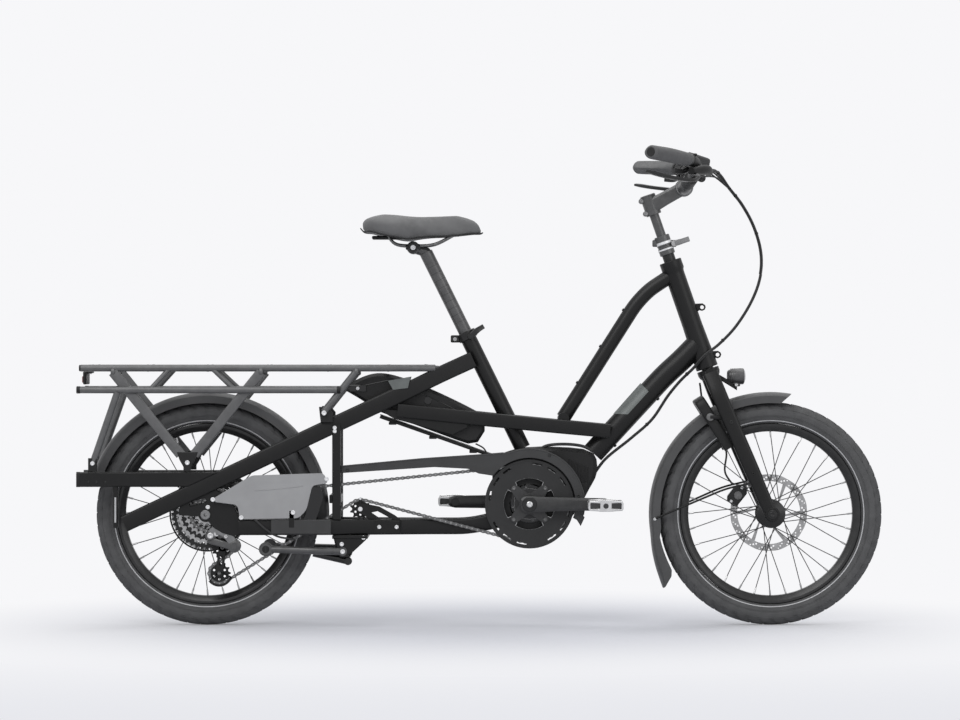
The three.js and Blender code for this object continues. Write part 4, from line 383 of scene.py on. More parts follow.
def finish(name, dark, light, rough, metal=0.0, scale=60.0, grain=900.0, bump=0.05, depth=0.0004, coat=0.0,
           rough_spread=0.08, shine=0.4):
    look = bpy.data.materials.new(name)
    look.use_nodes = True
    nodes, links = look.node_tree.nodes, look.node_tree.links
    shader = filled(nodes["Principled BSDF"], (("Metallic", metal), ("Specular IOR Level", shine),
                                               ("Coat Weight", coat), ("Coat Roughness", 0.12)))
    where = node(nodes, "TexCoord")
    broad = node(nodes, "TexNoise", (("Scale", scale), ("Detail", NOISE_DETAIL)))
    fine = node(nodes, "TexNoise", (("Scale", grain), ("Detail", NOISE_DETAIL)))
    for noise in (broad, fine):
        join(links, where, "Object", noise, "Vector")
    ramp = node(nodes, "ValToRGB")
    for stop, position, tone in zip(ramp.color_ramp.elements, (0.3, 0.7), (dark, light)):
        stop.position, stop.color = position, colour(tone)
    join(links, broad, "Fac", ramp, "Fac")
    join(links, ramp, "Color", shader, "Base Color")
    spread = node(nodes, "MapRange", (("To Min", rough - rough_spread), ("To Max", rough + rough_spread)))
    join(links, fine, "Fac", spread, "Value")
    join(links, spread, "Result", shader, "Roughness")
    raised = node(nodes, "Bump", (("Strength", bump), ("Distance", depth)))
    join(links, fine, "Fac", raised, "Height")
    join(links, raised, "Normal", shader, "Normal")
    return look


def colour(value):
    """A grey level, or three levels, from 0 to 255 as the eye sees them."""
    levels = [value] * 3 if isinstance(value, (int, float)) else value
    linear = [((v / 255 + 0.055) / 1.055) ** 2.4 if v > 10 else v / 255 / 12.92 for v in levels]
    return (*linear, 1)


black = finish("frame_black", 15, 19, 0.42, 0.0, grain=2400, bump=0.06, coat=0.06, shine=0.25)
gloss = finish("gloss_black", 9, 12, 0.16, 0.0, grain=2400, bump=0.03, coat=0.25, rough_spread=0.04, shine=0.4)
graphite = finish("carrier_grey", 91, 102, 0.4, 0.25, grain=2200, bump=0.08)
mudguard = finish("fender_grey", 72, 79, 0.5, 0.0, scale=25, grain=3000, bump=0.12, shine=0.35)
shell = finish("guard_grey", 151, 160, 0.5, 0.0, scale=20, grain=2600, bump=0.08, shine=0.3)
disc_grey = finish("disc_grey", 40, 46, 0.46, 0.0, scale=30, grain=2600, bump=0.1, shine=0.3)
cover = finish("cover_grey", 56, 62, 0.5, 0.0, scale=30, grain=2600, bump=0.1, shine=0.3)
plastic = finish("moulded_black", 20, 25, 0.5, 0.0, scale=40, grain=2600, bump=0.14, shine=0.3)
rubber = finish("tyre_rubber", 78, 91, 0.8, 0.0, scale=35, grain=1500, bump=0.25, shine=0.3)
band = finish("reflective_band", 176, 196, 0.5, 0.0, scale=200, grain=2000, bump=0.1)
rim_black = finish("rim_black", 44, 54, 0.3, 0.4, grain=2000, bump=0.04)
anodised = finish("hub_black", 36, 45, 0.32, 0.4, grain=2000, bump=0.04)
spoke_dark = finish("spoke_dark", 62, 76, 0.35, 0.8, scale=200, bump=0.02)
steel = finish("brushed_steel", 150, 175, 0.3, 1.0, scale=90, grain=1800, bump=0.08, rough_spread=0.1)
dark_steel = finish("dark_steel", 92, 120, 0.36, 0.9, scale=120, grain=1500, bump=0.08)
bright = finish("bright_bolt", 218, 238, 0.35, 0.3, scale=200, grain=1500, bump=0.03)
forged = finish("crank_grey", 56, 64, 0.36, 0.4, grain=2200, bump=0.06)
silver = finish("pedal_silver", 190, 212, 0.32, 0.85, scale=80, grain=1500, bump=0.1)
post_grey = finish("post_grey", 80, 93, 0.34, 0.5, grain=2200, bump=0.05)
clamp_grey = finish("clamp_grey", 120, 135, 0.4, 0.3, grain=2200, bump=0.05)
cloth = finish("saddle_cover", 92, 104, 0.62, 0.0, scale=30, grain=2600, bump=0.35, depth=0.0005)
grip_grey = finish("grip_rubber", 84, 96, 0.72, 0.0, scale=60, grain=1800, bump=0.3)
hose = finish("hose_black", 38, 48, 0.5, 0.0, scale=300, grain=2400, bump=0.1)
badge = finish("badge_plate", (98, 102, 100), (108, 112, 110), 0.4, 0.1, scale=60, bump=0.03)
glass = finish("lamp_glass", 150, 165, 0.12, 0.1, scale=90, grain=400, bump=0.3, depth=0.001)
red = finish("lamp_red", (96, 12, 12), (128, 18, 16), 0.2, 0.0, scale=120, grain=500, bump=0.2)
# The display's top face is light grey as a painted highlight, where light falls on its top
screen_highlight = finish("screen_painted_highlight", 118, 130, 0.1, 0.0, scale=20, grain=600, bump=0.01, rough_spread=0.02)


# Wheels
def tread(turns):
    """How deep the tread is cut at an angle, a place across and a radius."""
    def depth(angle, across, radius):
        if radius < TYRE_RADIUS - 13:
            return 0.0
        share = (angle / TURN * turns + abs(across) / 22) % 1
        outer = abs(across) > 9
        groove = share < 0.22 if not outer else 0.42 < share < 0.72
        rib = 7.4 < abs(across) < 9.2
        return -2.8 if groove or rib else 0.0
    return depth


def tyre(name, axle, body):
    half = [(209.3, 12.8), (212, 17.5), (216, 21), (222, 24.6), (229, 26.9), (235, 27.4), (241, 26.3), (246, 24),
            (248.6, 22), (250.6, 20), (252.6, 17.6), (254.4, 14.6), (255.8, 11.6), (256.6, 9.4), (257, 9), (257.1, 7.6),
            (257.4, 7.2), (257.8, 4), (258, 0)]
    form = Form().spin(doubled(half), xyz(axle), sides=432, wave=tread(54))
    for side in (1, -1):
        line = [(214.4, 20.2), (214.2, 20.9), (216.4, 22.0), (216.6, 21.2)]
        form.spin([(r, y * side) for r, y in line], xyz(axle), sides=180, kind=1)
        for r, y in ((225, 26.2), (227.5, 27), (243.5, 25.8)):
            rib = [(r - 0.5, y - 0.8), (r - 0.3, y), (r + 0.3, y), (r + 0.5, y - 0.8)]
            form.spin([(a, b * side) for a, b in rib], xyz(axle), sides=180)
    form.made(f"{name}_tyre_tread", [rubber, band], body, [f"{name}_tyre"], "tyre_rubber")


def rim(name, axle, body):
    half = [(RIM_INNER, 5.5), (190.6, 8), (194, 10.4), (201.5, 15.4), (203, 16), (207.6, 16), (208.8, 15.2),
            (209, 13.4), (206.4, 13), (206, 12)]
    form = Form().spin(doubled(half, 0), xyz(axle), sides=144)
    valve = unit((math.cos(2.0), 0, math.sin(2.0)))
    form.spin([(0, 0), (3.2, 0), (3.2, 12), (2.4, 13), (2.4, 30), (1.8, 32), (0, 32)],
              xyz(axle) + valve * RIM_INNER, -valve, 14, 1)
    form.made(f"{name}_rim_box", [rim_black, steel], body, [f"{name}_rim"], "rim_alloy")


SPOKES, SPOKE_END, SPOKE_LEAN = 16, 189.6, 0.78


def hub(name, axle, body, half, shell_radius, flange_right, flange_left, rotor_y):
    flange = max(shell_radius, 28.6)
    waist = shell_radius * 0.86
    centre = xyz(axle)
    form = Form().spin([
        (0, flange_right - 8), (9, flange_right - 8), (14, flange_right - 5), (flange - 2, flange_right - 2.4),
        (flange, flange_right - 1), (flange, flange_right + 1), (flange - 2, flange_right + 2.2),
        (waist + 1, flange_right + 5), (waist, flange_right + 9), (waist, flange_left - 9),
        (waist + 1, flange_left - 5), (flange - 2, flange_left - 2.2), (flange, flange_left - 1),
        (flange, flange_left + 1), (flange - 2, flange_left + 2.4), (15, flange_left + 4),
        (15, rotor_y - 2), (0, rotor_y - 2)], centre, sides=48)
    form.spin([(0, -half), (6, -half), (8.5, -half + 2), (8.5, -half + 7), (6, -half + 8), (6, half - 8),
               (8.5, half - 7), (8.5, half - 2), (6, half), (0, half)], centre, sides=24, kind=1)
    for side, sign in ((flange_right, -1), (flange_left, 1)):
        for i in range(SPOKES):
            a = TURN * (i + 0.25) / SPOKES
            lean = 1 if i % 2 else -1
            hole = polar(axle, flange - 3.4, a + SPOKE_LEAN * lean)
            start = xyz(hole, side + 1.6 * lean)
            end = xyz(polar(axle, SPOKE_END, a + sign * TURN / (4 * SPOKES)), sign * 3)
            form.tube([start, end], 1.05, 2, 6)
            form.spin([(0, -13), (1.7, -13), (2.1, -11), (2.1, 0), (0, 0)], end, unit(end - start), 8, 3)
            form.spin([(0, -1.6), (1.7, -1.2), (1.7, 1.2), (0, 1.6)], xyz(hole, side), (0, 1, 0), 8, 2)
    form.made(f"{name}_hub_spokes", [anodised, steel, spoke_dark, steel], body, [f"{name}_hub"], "hub_steel")
    brake_disc(name, axle, body, rotor_y)


def brake_disc(name, axle, body, rotor_y):
    form = Form()
    holes = []
    for i in range(12):
        for k, (r, size) in enumerate(((86, 1.9), (82.2, 2.3), (78.4, 2.3))):
            a = TURN * i / 12 + 0.07 * k
            holes += [circle(polar(axle, r, a), size, 10), circle(polar(axle, r, a + TURN / 24), size * 0.8, 10)]
    for i in range(6):
        start, end = TURN * (i + 0.06) / 6, TURN * (i + 0.95) / 6
        holes.append(arc(axle, 73.5, start, end, 8) + arc(axle, 30, end - 0.28, start - 0.28, 5))
    edge = [polar(axle, BRAKE_DISC_RADIUS - 0.9 * (0.5 + 0.5 * math.cos(12 * a)), a)
            for a in np.linspace(0, TURN, 144, False)]
    form.plate([edge, circle(axle, 17)] + holes, rotor_y - 0.95, rotor_y + 0.95, 0.25)
    form.disc(axle, 24, rotor_y - 1.6, rotor_y + 2.4, 1, bore=15)
    for i in range(6):
        form.bolt(xyz(polar(axle, 22, TURN * i / 6 + 0.3), rotor_y + 2.4), 2.6, 1.4, 1, axis=(0, 1, 0))
    form.made(f"{name}_brake_disc", [steel, anodised], body, slot="hub_steel")


for wheel, axle in (("rear", REAR_AXLE), ("front", FRONT_AXLE)):
    tyre(wheel, axle, f"{wheel}_wheel")
    rim(wheel, axle, f"{wheel}_wheel")
hub("rear", REAR_AXLE, "rear_wheel", half=74, shell_radius=22, flange_right=-22, flange_left=30.8, rotor_y=60)
hub("front", FRONT_AXLE, "front_wheel", half=55, shell_radius=33, flange_right=-33, flange_left=33, rotor_y=44)


# Drive train
def pitch_radius(teeth):
    return teeth * PITCH / TURN


def toothed(centre, teeth, holes=(), root_drop=3.2, tip_rise=2.6, phase=0.0):
    """The outline of a sprocket, with the inner outlines after it."""
    mean, step, flank = pitch_radius(teeth), TURN / teeth, -root_drop * 0.6
    tooth = ((-0.5, -root_drop), (-0.27, flank), (-0.1, tip_rise), (0.1, tip_rise), (0.27, flank))
    edge = [polar(centre, mean + rise, TURN * (i + phase) / teeth + step * share)
            for i in range(teeth) for share, rise in tooth]
    return [edge, *holes]


def belt():
    """The chain's line: tangents between its wheels, and arcs round them."""
    wheels = [(place, pitch_radius(teeth), turn) for place, teeth, turn in (
        (REAR_AXLE, COG_TEETH, 1), (BB, RING_TEETH, 1), (IDLER, IDLER_TEETH, -1), (TENSION, PULLEY_TEETH, 1),
        (GUIDE, PULLEY_TEETH, -1))]
    touch = []
    for (a, ra, ta), (b, rb, tb) in zip(wheels, wheels[1:] + wheels[:1]):
        span = math.dist(a, b)
        normal = math.atan2(b[1] - a[1], b[0] - a[0]) + math.pi / 2 - math.asin((ra * ta - rb * tb) / span)
        touch.append((normal + (math.pi if ta < 0 else 0), normal + (math.pi if tb < 0 else 0)))
    line = []
    for i, (place, radius, turn) in enumerate(wheels):
        start, leave = touch[i - 1][1], touch[i][0]
        by = -((start - leave) % TURN) if turn > 0 else (leave - start) % TURN
        steps = max(4, int(abs(by) / 0.06))
        line += [polar(place, radius, start + by * k / steps) for k in range(steps + 1)]
    return line


def chain():
    line = np.array(belt())
    line = np.vstack([line, line[:1]])
    length = stations(line)
    count = round(length[-1] / PITCH / 2) * 2
    stops = np.linspace(0, length[-1], count + 1)
    pins = np.stack([np.interp(stops, length, line[:, 0]), np.interp(stops, length, line[:, 1])], 1)
    form = Form()
    for i in range(count):
        a, b = pins[i], pins[i + 1]
        heading = math.atan2(b[1] - a[1], b[0] - a[0])
        outline = []
        for centre, base in ((b, -0.25), (a, 0.25)):
            outline += [polar(centre, 4.1, heading + TURN * (base + 0.5 * k / 4)) for k in range(5)]
        outline.insert(5, polar(mix(a, b, 0.5), 2.7, heading + TURN / 4))
        outline.append(polar(mix(a, b, 0.5), 2.7, heading - TURN / 4))
        offset = 2.75 if i % 2 else 1.75
        for sign in (1, -1):
            y = CHAIN_Y + sign * offset
            form.skin([[(x, y + half, z) for x, z in outline] for half in (-0.45, 0.45)])
        form.spin([(0, -3.3), (1.7, -3.3), (1.7, -1.2), (3.6, -1.2), (3.6, 1.2), (1.7, 1.2), (1.7, 3.3), (0, 3.3)],
                  xyz(a, CHAIN_Y), sides=8, kind=1)
    form.made("chain_links", [dark_steel, steel], "frame", ["chain"], "drive_steel", sharp=40)


def cassette():
    form = Form()
    first = CHAIN_Y + COG_GAP * 6
    for i, teeth in enumerate((40, 34, 29, 25, 21, 18, 16, 14, 13, 12)):
        y = first - COG_GAP * i
        inner = max(pitch_radius(teeth) - 14, 17)
        holes = [circle(REAR_AXLE, 15, 32)]
        if teeth > 20:
            for k in range(12):
                start, end = TURN * (k + 0.2) / 12, TURN * (k + 0.75) / 12
                holes.append(arc(REAR_AXLE, inner + 4, start, end, 4)
                             + arc(REAR_AXLE, inner - 5, end + 0.1, start + 0.1, 4))
        form.plate(toothed(REAR_AXLE, teeth, holes, phase=i * 0.3), y - 0.9, y + 0.9, 0.3, 0 if i % 2 else 1)
    form.disc(REAR_AXLE, 17.5, first - COG_GAP * 10.4, first, 2, bore=8)
    form.made("cassette_cogs", [steel, anodised, anodised], "cassette", ["cassette"], "drive_steel")
    # The guard ring between the largest cog and the spokes
    guard = Form().spin([(84, first + 3.2), (88, first + 3.2), (88, first + 4.2), (84, first + 4.2)],
                        xyz(REAR_AXLE), sides=96)
    guard.made("spoke_guard_ring", plastic, "rear_wheel", slot="black_plastic")


def pulley(name, place, teeth, body):
    holes = [circle(place, 3.6)]
    for k in range(6):
        holes.append(circle(polar(place, pitch_radius(teeth) * 0.58, TURN * (k + 0.5) / 6), 2.6, 10))
    form = Form().plate(toothed(place, teeth, holes, 3.4, 2.2), CHAIN_Y - 1.1, CHAIN_Y + 1.1, 0.3)
    form.disc(place, 8, CHAIN_Y - 3, CHAIN_Y + 3, 1, bore=3.6)
    form.made(f"{name}_teeth", [plastic, dark_steel], body, [name], "black_plastic")


def chainring():
    mean = pitch_radius(RING_TEETH)
    form = Form().plate(toothed(BB, RING_TEETH, [circle(BB, mean - 12, 64)]), CHAIN_Y - 1.1, CHAIN_Y + 1.1, 0.3, 1)
    y = CHAIN_Y - 5.3
    holes = []
    for a in [TURN * (i + 0.5) / 16 for i in range(16) if i % 4]:
        holes.append(arc(BB, 94.4, a - 0.12, a + 0.12, 5) + arc(BB, 90.4, a + 0.12, a - 0.12, 5))
    waist = ((44, 0.62), (37, 0.4), (35.5, 0), (37, -0.4), (44, -0.62))
    for a in [TURN * i / 4 for i in range(4)]:
        holes.append(arc(BB, 59, a - 0.56, a + 0.56, 10) + [polar(BB, r, a + b) for r, b in waist])
    form.plate([circle(BB, GUARD_RADIUS, 128), circle(BB, 12.4, 32)] + holes, y - 1.8, y + 1.6, 0.7, 0)
    for loop in holes[-4:]:
        middle = np.mean(loop, axis=0)
        form.plate([[mix(middle, p, 1.05) for p in loop], loop], y - 2.3, y - 1.7, 0.2, 3)
    rim_bead = ((-5, -2.6), (-1, -2.2), (0, -0.6), (-0.6, 1), (-5, 1))
    form.spin([(GUARD_RADIUS + r, y + b) for r, b in rim_bead], xyz(BB), sides=128)
    arm = ((20, -0.9), (34, -0.42), (50, -0.2), (56, -0.12), (58, 0), (56, 0.12), (50, 0.2), (34, 0.42), (20, 0.9))
    for a in [TURN * (i + 0.5) / 4 for i in range(4)]:
        form.plate([[polar(BB, r, a + b) for r, b in arm]], y - 5, y - 1.6, 0.9, 2)
        form.bolt(xyz(polar(BB, 51, a), y - 5), 4.2, 1.6, 1)
    form.disc(BB, 24, y - 9, y - 1, 2, bore=12.4)
    form.made("chainring_guard", [disc_grey, dark_steel, forged, steel], "crank", ["chainring"], "black_plastic")


def cranks():
    form = Form()
    for sign in (-1, 1):
        end = (BB[0] - sign * CRANK, BB[1])
        rows = [(-0.11, 13, 6), (-0.07, 17.5, 7), (0, 19, 7.4), (0.12, 17.4, 7.2), (0.4, 15.8, 7), (0.7, 14.8, 6.8),
                (0.92, 14.4, 6.6), (1.0, 14.2, 6.4), (1.06, 11.8, 6), (1.09, 7, 5)]
        rings = []
        for share, tall, thick in rows:
            p = mix(BB, end, share)
            section = [(thick, -tall * 0.62), (thick, tall * 0.62), (thick * 0.62, tall), (-thick * 0.62, tall),
                       (-thick, tall * 0.55), (-thick * 1.04, 0), (-thick, -tall * 0.62), (-thick * 0.62, -tall),
                       (thick * 0.62, -tall)]
            rings.append([(p[0], sign * (CRANK_Y + a), p[1] + b) for a, b in section])
        form.skin(rings)
        form.disc(BB, 17.5, *between(sign, CRANK_Y - 10, CRANK_Y + 9), 1, bevel=2)
        face = CRANK_Y + 9.4
        form.disc(BB, 11.5, *between(sign, face - 3, face), 1, bevel=1)
        form.bolt(xyz(BB, sign * face), 6.8, 1.4, 2, axis=(0, sign, 0))
        form.spin([(0, -9), (9.5, -9), (9.5, 9), (0, 9)], xyz(end, sign * CRANK_Y), sides=24, kind=1)
    form.across(BB, 80, 12, 1)
    form.made("crank_arms", [forged, anodised, silver], "crank", ["crankset"], "crank_alloy", sharp=24)


def pedal(name, sign, body):
    x, z = BB[0] - sign * CRANK, BB[1]
    low, high = 100, 196
    form = Form()
    corner = [(40, 6), (37, 11), (24, 11.5), (10, 13)]
    outline = [(x - a, z - b) for a, b in corner] + [(x + a, z - b) for a, b in reversed(corner)]
    outline += [(x + a, z + b) for a, b in corner] + [(x - a, z + b) for a, b in reversed(corner)]
    window = ((13, -6), (34, -7), (35.5, -5), (35.5, 5), (34, 7), (13, 6))
    for y0, y1 in ((low, low + 5), (high - 5, high)):
        form.plate([outline] + [[(x + s * a, z + b) for a, b in window] for s in (-1, 1)], y0, y1, 0.8)
        for s in (-1, 1):
            x0, x1 = sorted((x + s * 13, x + s * 35))
            form.block((x0, y0 + 1.4, z - 6.6), (x1, y1 - 1.4, z + 6.6), 0.6, 1)
    for s in (-1, 1):
        form.block((x + s * 37 - 3, low + 2, z - 8), (x + s * 37 + 3, high - 2, z + 8), 1.4)
        for y in (112, 132, 164, 184):
            for up in (-1, 1):
                pin = [(0, 0), (1.8, 0), (1.8, 3), (0, 3.4)]
                form.spin(pin, (x + s * 36, y, z + up * 7.8), (0, 0, up), 8, 2)
    form.spin([(0, 86), (6, 86), (6, 99), (11, 101), (12, 106), (9.5, 112), (9.5, 184), (12, 190), (11.5, 195),
               (4, 196.4), (0, 196.4)], (x, 0, z), sides=28, kind=1)
    form.block((x - 16, low + 6, z - 9), (x + 16, high - 6, z + 9), 2)
    form.made(f"{name}_cage", [silver, forged, steel], body, [name], "pedal_alloy", flip=sign < 0)


def derailleur():
    form = Form()
    outer = CHAIN_Y - 4.8

    thick = 1.8

    def link(a, b, radius, y, hole, shares):
        heading = math.atan2(b[1] - a[1], b[0] - a[0])
        edge = arc(a, radius, heading + math.pi / 2, heading + math.pi * 1.5, 8)
        edge += arc(b, radius, heading - math.pi / 2, heading + math.pi / 2, 8)
        form.plate([edge] + [circle(mix(a, b, share), hole, 12) for share in shares], y, y + thick, 0.5)

    for y in (outer - 2.4, CHAIN_Y + 4.4):
        link(CAGE_PIVOT, GUIDE, 9, y, 3.4, [0.5])
        link(GUIDE, TENSION, 8.6, y, 3.6, [0.36, 0.5, 0.64])
        form.plate([arc(TENSION, 31, -2.5, -0.3, 14) + arc(TENSION, 25.5, -0.3, -2.5, 14)], y, y + thick, 0.4)
        for arm in (((29, -0.3), (31, -0.42), (5, 0.8), (5, 2.3)), ((29, -2.5), (31, -2.4), (5, -3.5), (5, 1.0))):
            form.plate([[polar(TENSION, r, a) for r, a in arm]], y, y + thick, 0.4)
    for place in (GUIDE, TENSION):
        form.tube([xyz(place, outer - 3), xyz(place, CHAIN_Y + 6)], 3, 1, 16)
        form.bolt(xyz(place, outer - 2.6), 4.2, 1.8, 1)
    form.disc(CAGE_PIVOT, 11, outer - 4.4, outer, 1)
    form.made("derailleur_cage_plates", [plastic, dark_steel], "cage", ["derailleur_cage"], "drive_steel")

    form = Form()
    face = outer - 4.7
    hanger = (-620.2, 209.4)
    form.spin([(0, face - 22), (9, face - 22), (14.5, face - 19.5), (16, face - 16), (16, face - 2), (14, face),
               (0, face)], xyz(CAGE_PIVOT), sides=36)
    form.spin([(0, face - 23), (7, face - 23), (7.4, face - 21), (0, face - 21)], xyz(CAGE_PIVOT), sides=24, kind=0)
    upper = spline([xyz(hanger, -66), xyz((-606, 222), -74), xyz((-584, 214), -76), xyz((-570, 196), -74)], 6)
    form.sweep(upper, slab(7, 11, 3.5), 2, scales=np.linspace(1.1, 0.9, len(upper)))
    lower = spline([xyz((-624, 200), -62), xyz((-612, 196), -72), xyz((-590, 190), -76), xyz((-572, 184), -72)], 6)
    form.sweep(lower, slab(5, 8, 3), 0)
    form.disc(hanger, 12, -76, -60, 0, bevel=2)
    form.bolt(xyz(hanger, -76), 7, 2, 1)
    form.disc((-606, 214), 6, -80, -66, 1)
    form.bolt(xyz((-584, 208), -83), 4.5, 2.4, 1)
    form.made("derailleur_arms", [post_grey, silver, clamp_grey], "frame", ["derailleur_body"], "black_plastic")
    cord("shift_cable_end", ((-556, -93.4, 276), (-524, -93.8, 253), (-493, -93.8, 226), (-466, -92, 209),
                             (-424, -84, 201)), 2.3, steps=8)


def cord(name, points, radius, body="frame", steps=7, sides=10):
    Form().tube(spline(points, steps), radius, 0, sides, free=True).made(name, hose, body, slot="hose_rubber")


def chain_guard():
    deep, clear, rise = 15.1, 106, 20
    plate_y, lip_y = -65, -47.4
    start = (-319.7, 368.2)
    knee = mix(start, BB, 0.43)[0]
    top = [start, (knee, start[1] + deep * 1.15), (52.2, 401)]
    round_top = arc(BB, clear + rise, math.pi * 0.62, -math.pi * 0.065, 40)
    tail = [(241, 251), (232, 231), (223, 245), (214, 250)]
    inner = arc(BB, clear, -math.pi * 0.065, math.pi * 0.79, 48)
    under = [(-3, 352), (-28, 363), (-106, 367), (knee, start[1] - deep * 0.2), (start[0], start[1] - deep)]
    edge = top + round_top + tail + inner + under
    form = Form().plate([edge], plate_y, plate_y + 2.6, 1.0)
    skirt = []
    line = [xyz(p) for p in top[:-1] + round_top]
    for i, p in enumerate(line):
        along = direction(line, i)
        under = p + vec(along[2], 0, -along[0]) * 2
        skirt.append([p + vec(0, plate_y, 0), p + vec(0, lip_y, 0), under + vec(0, lip_y, 0),
                      under + vec(0, plate_y + 1, 0)])
    form.skin(skirt)
    form.sweep([p + vec(0, plate_y + 1.4, 0) for p in line], ring(2.2, 10))
    for place in ((-305, 360), (160, 394), (227, 300)):
        form.bolt(xyz(place, plate_y), 4, 1.4, 1)
    form.block((134, -52, 386), (166, -38, 399), 1.5)
    form.made("chain_cover", [cover, anodised], "frame", ["chain_guard"], "black_plastic")


chain()
cassette()
chainring()
cranks()
pedal("pedal_right", -1, "pedal_r")
pedal("pedal_left", 1, "pedal_l")
pulley("idler_pulley", IDLER, IDLER_TEETH, "idler")
pulley("guide_pulley", GUIDE, PULLEY_TEETH, "guide")
pulley("tension_pulley", TENSION, PULLEY_TEETH, "tension")
derailleur()
chain_guard()


# Frame tubes
def right_tube(form, route, section, reach):
    form.sweep(bent([(x, -y, z) for x, y, z in route], reach), section)


def weld(form, place, y, radius):
    """A bead of weld round the end of a cross tube."""
    bead = ((-1.6, -1.8), (0.2, -1.6), (1.5, 0), (0.2, 1.6), (-1.6, 1.8))
    form.spin([(radius + r, h) for r, h in bead], xyz(place, y), sides=36)


def down_tube_plate(tube_radius):
    """A bare plate that follows the round of the down tube."""
    corners = [(372, 560), (390, 541), (342, 488), (309, 489)]
    (x0, z0), (x1, z1) = DOWN_TUBE
    length = math.dist(*DOWN_TUBE)
    rings = []
    for share in np.linspace(0, 1, 13):
        upper, lower = mix(corners[0], corners[3], share), mix(corners[1], corners[2], share)
        row = []
        for x, z in [mix(upper, lower, k / 8) for k in range(9)]:
            off = min(abs((x - x0) * (z1 - z0) - (z - z0) * (x1 - x0)) / length, tube_radius)
            row.append((x, -math.sqrt(max((tube_radius + 0.5) ** 2 - off ** 2, 1)), z))
        rings.append(row + [(x, y + 0.8, z) for x, y, z in reversed(row)])
    Form().skin(rings).made("down_tube_plate", badge, "frame", slot="frame_paint")


def main_tubes():
    form = Form()
    length = math.dist(HEAD_TOP, HEAD_BOTTOM)
    form.spin([(15, 0), (24.6, 0), (26, 1.4), (26, 22), (23.4, 27), (23, 34), (23, length * 0.6), (24.4, length * 0.78),
               (26, length - 16), (26, length - 1.4), (24.8, length), (15, length)], xyz(HEAD_TOP), HEAD_AXIS, 48)
    for x, z in ((515, 736), (551, 626)):
        form.plate([[(x - 34, z + 8), (x - 8, z + 8.6), (x + 1, z + 9), (x + 7, z + 5), (x + 8.6, z), (x + 6, z - 6),
                     (x, z - 8.6), (x - 6, z - 7), (x - 28, z - 20)], circle((x, z), 4.4, 24)], -4, 4, 1)
    radius = 26
    down = bent([xyz(p) for p in ((503, 650), (468, 614), *DOWN_TUBE)], 34)
    form.tube(down, radius, 0, 36)
    for share in (0.2, 0.8):
        form.bolt(xyz(mix(*DOWN_TUBE, share)) + vec(18, -4, -19), 3.6, 2.4, 1, axis=(0.68, -0.2, -0.7))
    down_tube_plate(radius)
    form.made("head_and_down_tubes", [black, anodised], "frame", ["head_and_down_tube"], "frame_paint")

    form = Form()
    top = bent([xyz(p) for p in ((447, 812), (392, 776), *TOP_TUBE)], 60, 8)
    form.tube(top, 17, 0, 32)
    form.across(TOP_TUBE[1], 38, 13, 0, 24)
    for share in (0.08, 0.4, 0.72):
        form.bolt(xyz(mix(*TOP_TUBE, share)) + vec(-14.6, -3, 9), 3.4, 2.4, 1, axis=(-0.84, 0, 0.54))
    form.made("top_tube_bent", [black, anodised], "frame", ["top_tube"], "frame_paint")

    form = Form()
    form.tube([xyz(SEAT_TOP), xyz(SEAT_END)], 18.6, 0, 32)
    for sign in (-1, 1):
        form.tube([xyz(seat(0.76), sign * 16.4), xyz(seat(0.76), sign * 54)], 13, 0, 24)
    form.spin([(16, -3), (21, -3), (22.7, -1.6), (22.7, 14.6), (21, 16), (16, 16)], xyz(SEAT_TOP), SEAT_AXIS, 40, 1)
    form.block((-68, -9, 654), (-46, 9, 671), 2.4, 1)
    form.across((-58, 662), 13, 4.4, 2, 20)
    form.made("seat_tube_collar", [black, anodised, steel], "frame", ["seat_tube"], "frame_paint")

    form = Form()
    right_tube(form, SIDE_ROUTE, slab(7.5, 16, 4), 40)
    gusset = [(-240, 503), (-190, 498), (-29, 477), (-29, 457.8), (-63, 441), (-197.6, 478)]
    form.plate([gusset], -59, -52.5, 1)
    form.mirror()
    form.across((243, 454.3), 34, 9.6, 0, 24)
    form.made("side_bars_formed", [black], "frame", ["side_bars"], "frame_paint")


